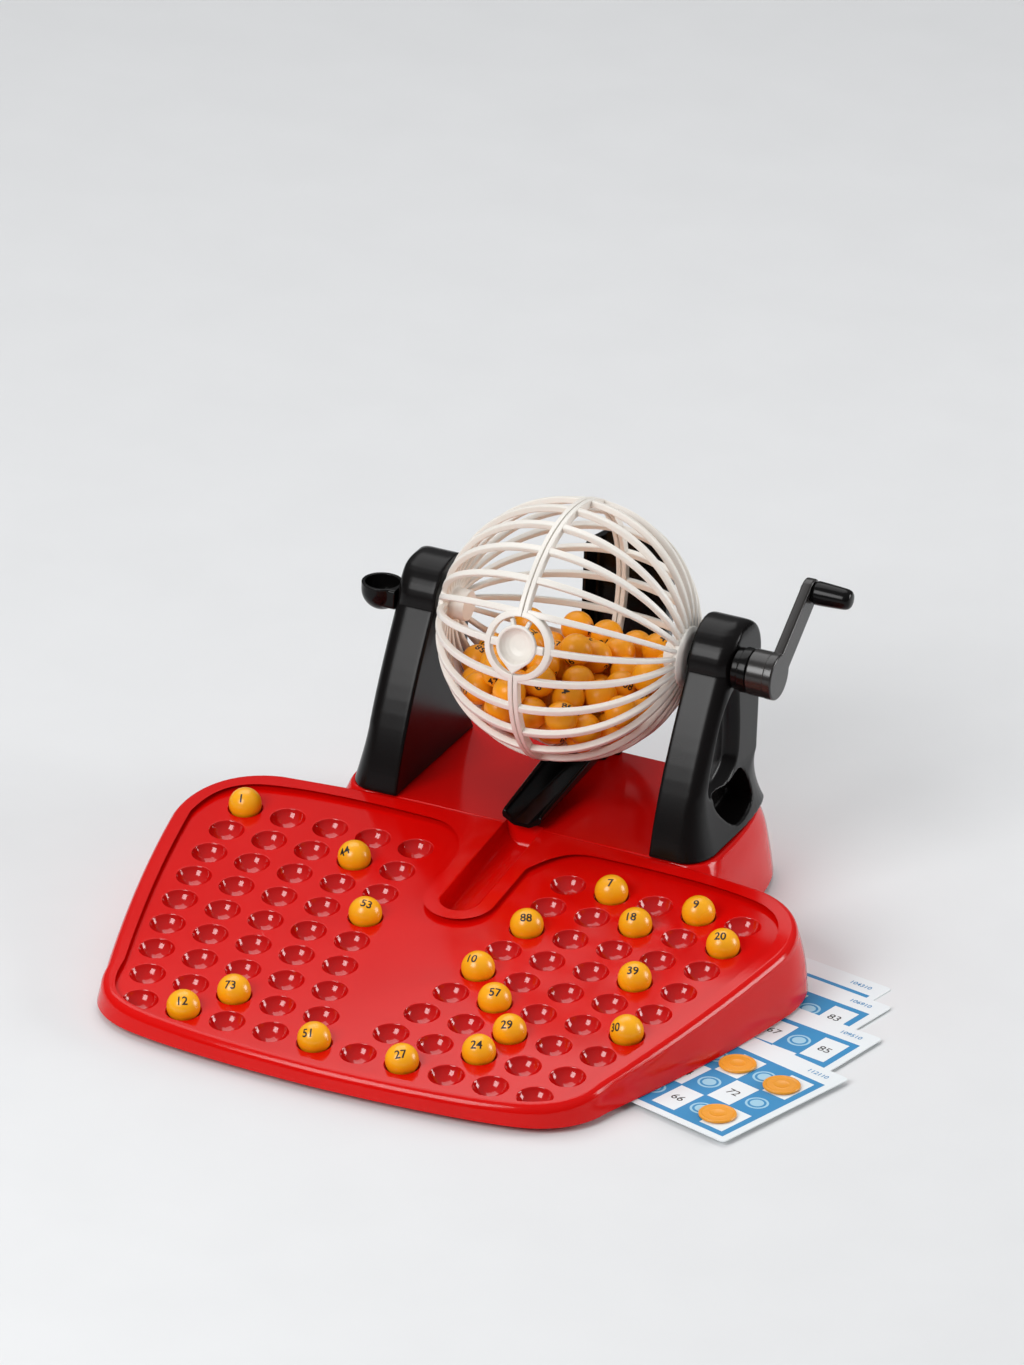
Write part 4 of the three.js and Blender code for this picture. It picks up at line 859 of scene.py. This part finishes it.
def make_crank():
    outline = []
    taper = math.asin((CRANK_HUB_R - CRANK_END_R) / CRANK_LENGTH) * 0.4
    ends = ((CRANK_LENGTH, CRANK_END_R, -math.pi / 2 + taper, math.pi / 2 - taper),
            (0, CRANK_HUB_R, math.pi * 0.2, math.pi * 1.8))
    for centre, radius, first, last in ends:
        for i in range(33):
            angle = first + (last - first) * i / 32
            outline.append(np.array((centre + radius * math.cos(angle), radius * math.sin(angle))))
    edge = [(0.1, -0.45), (0.35, -0.12), (0.8, 0)]
    levels = [(0, -0.8), *edge, *[(CRANK_THICK - x, out) for x, out in reversed(edge)], (CRANK_THICK, -0.85)]
    bar = loft([[(CRANK_BAR + x, p[0], p[1]) for p in offset(outline, out)] for x, out in levels])
    foot, end = CRANK_HUB, CRANK_BAR + 2
    hub = lathe([(BORE_RADIUS, foot), (8.3, foot), (8.7, foot + 0.2), (8.82, foot + 0.6), (8.82, end),
                 (BORE_RADIUS, end), (BORE_RADIUS, foot)], 64, "X")
    bar = cut(bar, shift(rod(KNOB_BORE_R, CRANK_BAR - 1, CRANK_BAR + 6), y=CRANK_LENGTH))
    crank = on_crank(joined([bar, hub]))
    piece("crank_arm", crank, "cage", "crank_bar", [CRANK_BLACK], crease=40)


def make_knob():
    grip = raised([(0, KNOB_BORE), (KNOB_BORE_R, KNOB_BORE), (KNOB_BORE_R, 0), (3.6, 0), (4.1, 0.15),
                   (4.45, 0.5), (4.6, 1.1), (4.5, 4), (4.3, 8)], KNOB)
    grip += raised([(4.05, -3), (3.85, -1.8), (3.5, -1.0), (2.9, -0.4), (2.0, -0.08), (0, 0)],
                   KNOB + KNOB_LENGTH)
    grip = on_crank(shift(lathe(grip, 64, "X"), y=CRANK_LENGTH))
    piece("crank_grip", grip, "knob", "crank_knob", [GLOSS_BLACK], crease=40)
    head, tip = CRANK_BAR - GAP, KNOB + KNOB_BORE - GAP
    pin = raised([(0, -1), (1.6, -1), (2.2, -0.8), (2.55, -0.35), (2.6, 0), (1.6, 0)], head)
    pin = lathe([*pin, (1.6, tip - 0.4), (1.2, tip), (0, tip)], 40, "X")
    pin = on_crank(shift(pin, y=CRANK_LENGTH))
    piece("grip_pin", pin, "cage", "knob_pin", [STEEL], crease=40)


make_shaft()
make_crank()
make_knob()


def make_side_cup():
    outer, wall, depth, top = 8.0, 1.4, 11.0, 2.0
    face = ARM_OUT + GAP
    middle = face + outer

    def bowl(radius, bottom, high):
        turns = angles(*range(10, 91, 10))
        round_part = [(radius * math.sin(a), bottom + radius * (1 - math.cos(a))) for a in turns]
        return [(0, bottom), *round_part, (radius, high), (0, high)]

    tall = depth * 0.72
    back = [(u, top - tall / 2 + v) for u, v in soft_box(12.8, tall, 1.2, 5)]
    block = prism(back, face, middle, "X")
    body = boolean(shift(lathe(bowl(outer, top - depth, top), 64), middle), "UNION", block)
    inside = shift(lathe(bowl(outer - wall, top - depth + wall, top + 4), 64), middle)
    behind = prism(soft_box(60, 60, 1), 0, face, "X")
    body = cut(body, inside, behind)
    body = softened(body, 0.28, 4)
    stub = rod(1.8, ARM_OUT - 4.2, face + 1.2)
    cup = shift(flipped(joined([body, stub])), z=AXIS)
    piece("catch_cup", cup, "base", "side_cup", [GLOSS_BLACK], crease=50)


make_side_cup()


# Chute and guard
CHUTE_FRONT, CHUTE_BACK = -37.0, 36.0
CHUTE_WALL, CHUTE_RISE = 1.5, 3
CHUTE_FRONT_Z = DECK_TOP + 2 - CHUTE_WALL
CHUTE_BACK_Z = CHUTE_FRONT_Z + CHUTE_RISE
CHUTE_LOW, CHUTE_HIGH, CHUTE_HALF, CHUTE_BOTTOM = 5.6, 13, 9.5, 3
GUARD_HALF, GUARD_BOTTOM, GUARD_SIDE, GUARD_CORNER = 17.5, 15, 11, 5


def mirrored(points):
    return [(-x, y) for x, y in reversed(points)]


def trough_loop(place, half, bottom, side):
    """A trough's section, outside then inside, with round lips."""
    knee = side * 0.55
    outside = [(bottom, 0), (bottom + 1.2, 0.55), (half - 0.35, knee), (half, knee + 1.2), (half, side - 0.5)]
    lip = [(half - 0.15, side - 0.15), (half - 0.5, side), (half - 1.0, side), (half - 1.35, side - 0.15)]
    inner, floor = half - CHUTE_WALL, bottom - CHUTE_WALL * 0.4
    inside = [(inner, side - 0.5), (inner, knee + CHUTE_WALL + 1.2), (inner - 0.35, knee + CHUTE_WALL),
              (floor + 1.2, CHUTE_WALL + 0.55), (floor, CHUTE_WALL)]
    section = [*mirrored(outside), *outside, *lip, *inside, *mirrored(inside), *mirrored(lip)]
    return [place(x, out) for x, out in section]


def trough_foot(width, depth, radius, middle):
    outline = [(u, middle + v) for u, v in soft_box(width, depth, radius)]
    return prism(outline, ARM_BASE, CHUTE_BACK_Z + 0.7)


def make_chute():
    def share(y):
        return (y - CHUTE_FRONT) / (CHUTE_BACK - CHUTE_FRONT)

    sides = [(CHUTE_FRONT, 4.6), (CHUTE_FRONT + 0.4, 5.1), (CHUTE_FRONT + 1.5, CHUTE_LOW)]
    sides += [(y, CHUTE_LOW + (CHUTE_HIGH - CHUTE_LOW) * share(y)) for y in (-20, 0, 20, CHUTE_BACK)]
    loops = []
    for y, side in sides:
        floor = CHUTE_FRONT_Z + CHUTE_RISE * share(y)
        half = 8 + 1.5 * share(y)
        loops.append(trough_loop(lambda x, out: (x, y, floor + out), half, CHUTE_BOTTOM, side))
    trough = joined([loft(loops), trough_foot(8, 6, 0.8, CHUTE_BACK - 3.3)])
    piece("chute_trough", trough, "base", "chute", [GLOSS_BLACK], crease=45)


def make_guard():
    bend_z, front, back = AXIS - 22, CHUTE_BACK + GAP, 61.5
    top = AXIS + 13.5
    drop_z = bend_z - CHUTE_BACK_Z
    loops = []
    for down in (0, 0.15, 0.5, 1, 1.8, 2.8, 3.8, 5, 14, 24):
        z = top - down
        inward = GUARD_CORNER - math.sqrt(max(0, GUARD_CORNER ** 2 - max(0, z - (top - GUARD_CORNER)) ** 2))
        loops.append(trough_loop(lambda x, out: (x, back - out, z), GUARD_HALF - inward * 0.9,
                                 GUARD_BOTTOM - inward * 0.9, GUARD_SIDE - inward * 0.8))
    for i in range(25):
        angle = math.pi / 2 * i / 24
        share = (1 - math.cos(angle * 2)) / 2
        n = Vector((0, -math.cos(angle) / (back - front), math.sin(angle) / drop_z)).normalized()
        s = Vector((0, front + (back - front) * math.cos(angle), bend_z - drop_z * math.sin(angle)))
        loops.append(trough_loop(lambda x, out: (x, s.y + out * n.y, s.z + out * n.z),
                                 GUARD_HALF + (CHUTE_HALF - GUARD_HALF) * share,
                                 GUARD_BOTTOM + (CHUTE_BOTTOM - GUARD_BOTTOM) * share,
                                 GUARD_SIDE + (CHUTE_HIGH - GUARD_SIDE) * share))
    guard = joined([loft(loops), trough_foot(14, 3.5, 0.6, front + 1.75)])
    piece("guard_trough", guard, "base", "ball_guard", [GLOSS_BLACK], crease=45)


make_chute()
make_guard()


# Balls
BALL = 6.25


def number_mesh(text, size, thicken):
    """Flat figures about the origin, cut small enough to be laid on a ball."""
    curve = bpy.data.curves.new("figures", "FONT")
    curve.body = text
    curve.size = size
    curve.align_x = curve.align_y = "CENTER"
    curve.resolution_u = 3
    curve.offset = thicken
    bm = bmesh.new()
    bm.from_mesh(evaluated(curve))
    for axis in (0, 1):
        for i in range(-7, 8):
            point, normal = Vector((0, 0, 0)), Vector((0, 0, 0))
            point[axis], normal[axis] = i * 0.5, 1
            parts = [*bm.verts, *bm.edges, *bm.faces]
            bmesh.ops.bisect_plane(bm, geom=parts, plane_co=point, plane_no=normal)
    return as_mesh(bm)


def ball_mesh(text, facing, spin, segments=40, rings=24, size=4.7):
    """A ball with its number on the side that facing points to. Figures use the second material."""
    bm = bmesh.new()
    bmesh.ops.create_uvsphere(bm, u_segments=segments, v_segments=rings, radius=BALL)
    facing = facing.normalized()
    up = (Vector((0, 0, 1)) - facing * facing.z).normalized()
    right = up.cross(facing)
    right, up = right * math.cos(spin) + up * math.sin(spin), up * math.cos(spin) - right * math.sin(spin)
    plain, shell = set(bm.verts), set(bm.faces)
    bm.from_mesh(number_mesh(text, size, 0.09))
    for v in set(bm.verts) - plain:
        v.co = (facing * BALL + right * v.co.x + up * v.co.y).normalized() * (BALL + 0.03)
    for f in set(bm.faces) - shell:
        f.material_index = 1
        f.normal_update()
        if f.normal.dot(f.calc_center_median()) < 0:
            f.normal_flip()
    return as_mesh(bm)


# Number, side, row and column, how far right of and above the middle the figures show, and their turn
TRAY_BALLS = [
    (7, 1, 0, 1, -0.1, 0.5, 6), (9, 1, 0, 3, -0.18, 0.46, 8), (18, 1, 1, 2, -0.32, 0.42, 14),
    (20, 1, 1, 4, -0.2, 0.52, 12), (88, 1, 2, 0, -0.06, 0.42, 4), (39, 1, 3, 3, -0.14, 0.44, 6),
    (10, 1, 4, 0, -0.42, 0.52, 20), (57, 1, 5, 1, 0.0, 0.4, -4), (30, 1, 5, 4, -0.72, 0.2, 30),
    (29, 1, 6, 2, -0.2, 0.34, 10), (24, 1, 7, 2, -0.16, 0.36, 8), (27, 1, 8, 1, -0.1, 0.34, 14),
    (1, -1, 0, 4, -0.25, 0.3, 10), (44, -1, 1, 1, -0.6, 0.27, 48), (53, -1, 3, 0, 0.06, 0.54, -22),
    (73, -1, 7, 2, -0.22, 0.34, 8), (51, -1, 8, 0, -0.38, 0.3, 18), (12, -1, 8, 3, -0.08, 0.3, 6)]
TOWARDS = heading(CAMERA_AZIMUTH, CAMERA_ELEVATION)
ACROSS = Vector((0, 0, 1)).cross(TOWARDS).normalized()

for number, side, row, column, right, above, spin in TRAY_BALLS:
    facing = TOWARDS * math.sqrt(1 - right ** 2 - above ** 2) + ACROSS * right + TOWARDS.cross(ACROSS) * above
    made = ball_mesh(str(number), facing, math.radians(spin))
    place = tray_place(side, row, column, BALL - DIMPLE_DEPTH + 0.35)
    name = f"ball_{number:02d}"
    piece(name + "_shell", shift(made, *place), "base", name, [AMBER, INK], crease=60)


def settled_heap():
    """The cage's balls, pushed down into the bottom by the same steps as the solid heap."""
    seed = 20241
    radius = CAGE_R - RIB_THICK - 2 * GAP - BALL
    sweep = CAGE_R - 5.4 - 2 * GAP - BALL
    beside_half = PORT_IN - GAP
    count, rounds, share, size = 72, 500, 0.03, 2 * BALL

    def random():
        nonlocal seed
        seed = (seed * 1103 + 12345) % 65536
        return seed / 65536

    def length(point):
        return math.sqrt(point[0] * point[0] + point[1] * point[1] + point[2] * point[2])

    balls = []
    while len(balls) < count:
        ball = [(2 * random() - 1) * radius for _ in range(3)]
        if length(ball) < radius and ball[2] < radius * 0.1:
            balls.append(ball)
    for turn in range(rounds):
        fall = size * share * (1 - turn / rounds)
        for ball in balls:
            ball[2] -= fall
        for i in range(count):
            a = balls[i]
            for j in range(i + 1, count):
                b = balls[j]
                x = b[0] - a[0]
                if x >= size or x <= -size:
                    continue
                y, z = b[1] - a[1], b[2] - a[2]
                square = x * x + y * y + z * z
                if square >= size * size or square == 0:
                    continue
                distance = math.sqrt(square)
                push = (size - distance) / distance / 2
                a[0] -= x * push
                a[1] -= y * push
                a[2] -= z * push
                b[0] += x * push
                b[1] += y * push
                b[2] += z * push
        for ball in balls:
            distance = length(ball)
            if distance > radius:
                for k in range(3):
                    ball[k] *= radius / distance
            across = math.sqrt(ball[1] * ball[1] + ball[2] * ball[2])
            beside = abs(ball[0]) - beside_half
            reach = sweep if beside <= 0 else sweep + BALL - math.sqrt(max(0, BALL * BALL - beside * beside))
            if across > reach:
                for k in (1, 2):
                    ball[k] *= reach / across
    return balls


def make_heap():
    used = {ball[0] for ball in TRAY_BALLS}
    numbers = [n for n in range(1, 91) if n not in used]
    parts = []
    for i, (x, y, z) in enumerate(settled_heap()):
        text = str(numbers[(i * 29) % len(numbers)])
        turn = (i * 137.5) % 360
        if i % 3:
            facing = heading(24 + 60 * math.sin(turn), 26 + 55 * math.cos(turn * 1.7))
        else:
            facing = heading(turn, -30 + (i * 53) % 100)
        parts.append(shift(ball_mesh(text, facing, math.radians(turn), 28, 18, 4.4), x, y, z + AXIS))
    piece("heap_balls", joined(parts), "base", "ball_heap", [ORANGE, INK], crease=60)


make_heap()


# Cards and tokens
CARD_LONG, CARD_WIDE, CARD_THICK, CARD_PITCH, CARD_CORNER = 114.0, 70.0, 0.4, 0.55, 1.5
CARDS = [("card_4", 152.9, -37.6, -12), ("card_3", 159.1, -52.2, -12),
         ("card_2", 166.5, -78.2, -12), ("card_1", 168.7, -114.2, -17)]
MARGIN, BACK_MARGIN, BORDER, LINE, INK_LIFT = 3.0, 10.0, 2.4, 0.35, 0.02
CARD_COLUMNS, CARD_ROWS = 9, 3
FIRST_SERIAL, SERIAL_STEP, SERIAL_PLACE = 104310, 2600, (-10.5, -5.2)


def slab(x0, x1, y0, y1, z):
    return [(x0, y0, z), (x1, y0, z), (x1, y1, z), (x0, y1, z)]


def card_stock():
    outline = soft_box(CARD_LONG, CARD_WIDE, CARD_CORNER, 6)
    return prism([(x - CARD_LONG / 2, y - CARD_WIDE / 2) for x, y in outline], 0, CARD_THICK)


def card_print(index):
    """Thin layers of ink for the border and the cells, and the places of the numbers."""
    verts, faces, mats, numbers = [], [], [], []

    def patch(points, material):
        faces.append(tuple(range(len(verts), len(verts) + len(points))))
        verts.extend(points)
        mats.append(material)

    left, right = -CARD_LONG + MARGIN, -MARGIN
    low, high = -CARD_WIDE + MARGIN, -BACK_MARGIN
    cell_x = (right - left - 2 * BORDER) / CARD_COLUMNS
    cell_y = (high - low - 2 * BORDER) / CARD_ROWS
    patch(slab(left, right, low, high, CARD_THICK + INK_LIFT), 1)
    for column in range(CARD_COLUMNS):
        for row in range(CARD_ROWS):
            x0 = right - BORDER - (column + 1) * cell_x
            y0 = high - BORDER - (row + 1) * cell_y
            x, y = x0 + cell_x / 2, y0 + cell_y / 2
            if (column + row) % 2 == 0:
                patch(slab(x0 + LINE, x0 + cell_x - LINE, y0 + LINE, y0 + cell_y - LINE,
                           CARD_THICK + 2 * INK_LIFT), 0)
                numbers.append(((x, y), (8 - column) * 10 + (row * 3 + index * 2 + column) % 9 + 1))
                continue
            for radius, ink, layer in ((4.4, 2, 2), (3.5, 1, 3), (2.6, 2, 4)):
                turns = [math.pi * i / 16 for i in range(32)]
                patch([(x + radius * math.cos(a), y + radius * math.sin(a), CARD_THICK + layer * INK_LIFT)
                       for a in turns], ink)
    mesh = bpy.data.meshes.new("print")
    mesh.from_pydata(verts, [], faces)
    mesh.polygons.foreach_set("material_index", mats)
    return mesh, numbers


def make_card(index, name, place):
    printed, numbers = card_print(index)
    bm = bmesh.new()
    bm.from_mesh(card_stock())
    bm.from_mesh(printed)
    for (x, y), value in [*numbers, (SERIAL_PLACE, FIRST_SERIAL + index * SERIAL_STEP)]:
        serial = value >= FIRST_SERIAL
        figures = number_mesh(str(value), 3.2 if serial else 5.4, 0.03)
        plain = set(bm.faces)
        bm.from_mesh(moved(figures, Matrix.Translation((x, y, CARD_THICK + 3 * INK_LIFT))))
        for f in set(bm.faces) - plain:
            f.material_index = 1 if serial else 3
    for f in bm.faces:
        if f.material_index and f.normal.z < 0:
            f.normal_flip()
    inks = [CARD, BLUE, PALE_BLUE, INK]
    piece(name + "_print", moved(as_mesh(bm), place), "base", name, inks, crease=30)


for index, (name, x, y, turn) in enumerate(CARDS):
    card_place = Matrix.Translation((x, y, index * CARD_PITCH)) @ Matrix.Rotation(math.radians(turn), 4, "Z")
    make_card(index, name, card_place)

TOKEN_PROFILE = [(0, 0), (6.5, 0), (6.75, 0.1), (6.95, 0.35), (7, 0.6), (6.95, 0.85), (6.75, 1.1), (6.5, 1.2),
                 (6.2, 1.2), (5.95, 1.12), (5.8, 0.95), (5.5, 0.9), (3.4, 0.9), (3.2, 1.0), (2.9, 1.0),
                 (2.7, 0.9), (0, 0.9)]

# The tokens lie on the last card
for name, along, across in (("token_1", 35.37, 21.28), ("token_2", 13.16, 22.44), ("token_3", 14.92, 56.0)):
    spot = card_place @ Matrix.Translation((-along, -across, CARD_PITCH))
    disc = moved(lathe(TOKEN_PROFILE, 64), spot)
    piece(name + "_disc", disc, "base", name, [TOKEN], crease=40)


# Floor, lights and world
def make_floor():
    mesh = bpy.data.meshes.new("floor")
    mesh.from_pydata([(-6, -6, 0), (6, -6, 0), (6, 6, 0), (-6, 6, 0)], [], [(0, 1, 2, 3)])
    floor = placed("floor", mesh)
    floor.location = (0, 0, -0.0001)
    mesh.materials.append(plastic("floor_paper", srgb(226, 227, 228), 0.7, grain=300, spread=0.01))


def area_light(name, azimuth, elevation, distance, width, height, watts):
    data = bpy.data.lights.new(name, "AREA")
    data.shape = "RECTANGLE"
    data.size, data.size_y = width, height
    data.energy = watts
    light = placed(name, data)
    middle = ORIGIN + Vector((0, -40, 50)) * MM
    light.location = middle + heading(azimuth, elevation) * distance
    light.rotation_mode = "QUATERNION"
    light.rotation_quaternion = (light.location - middle).to_track_quat("Z", "Y")


make_floor()
area_light("back_box", 224, 62, 1.6, 1.5, 1.2, 12)
area_light("left_box", -17, 35, 1.6, 0.7, 0.75, 15)
area_light("right_box", 119, 15, 1.5, 0.55, 0.6, 10)


def make_world():
    """A dome that is dimmer towards the horizon."""
    world = bpy.data.worlds.new("studio")
    bpy.context.scene.world = world
    world.use_nodes = True
    nodes, links = world.node_tree.nodes, world.node_tree.links
    where = nodes.new("ShaderNodeTexCoord")
    split = nodes.new("ShaderNodeSeparateXYZ")
    span = nodes.new("ShaderNodeMapRange")
    settings(span, From_Min=0.0, From_Max=0.8, To_Min=0.08, To_Max=0.38)
    links.new(where.outputs["Generated"], split.inputs["Vector"])
    links.new(split.outputs["Z"], span.inputs["Value"])
    links.new(span.outputs["Result"], nodes["Background"].inputs["Strength"])
    settings(nodes["Background"], Color=(0.97, 0.98, 1, 1))


make_world()
bpy.context.scene.view_settings.view_transform = "Standard"

bpy.context.view_layer.update()
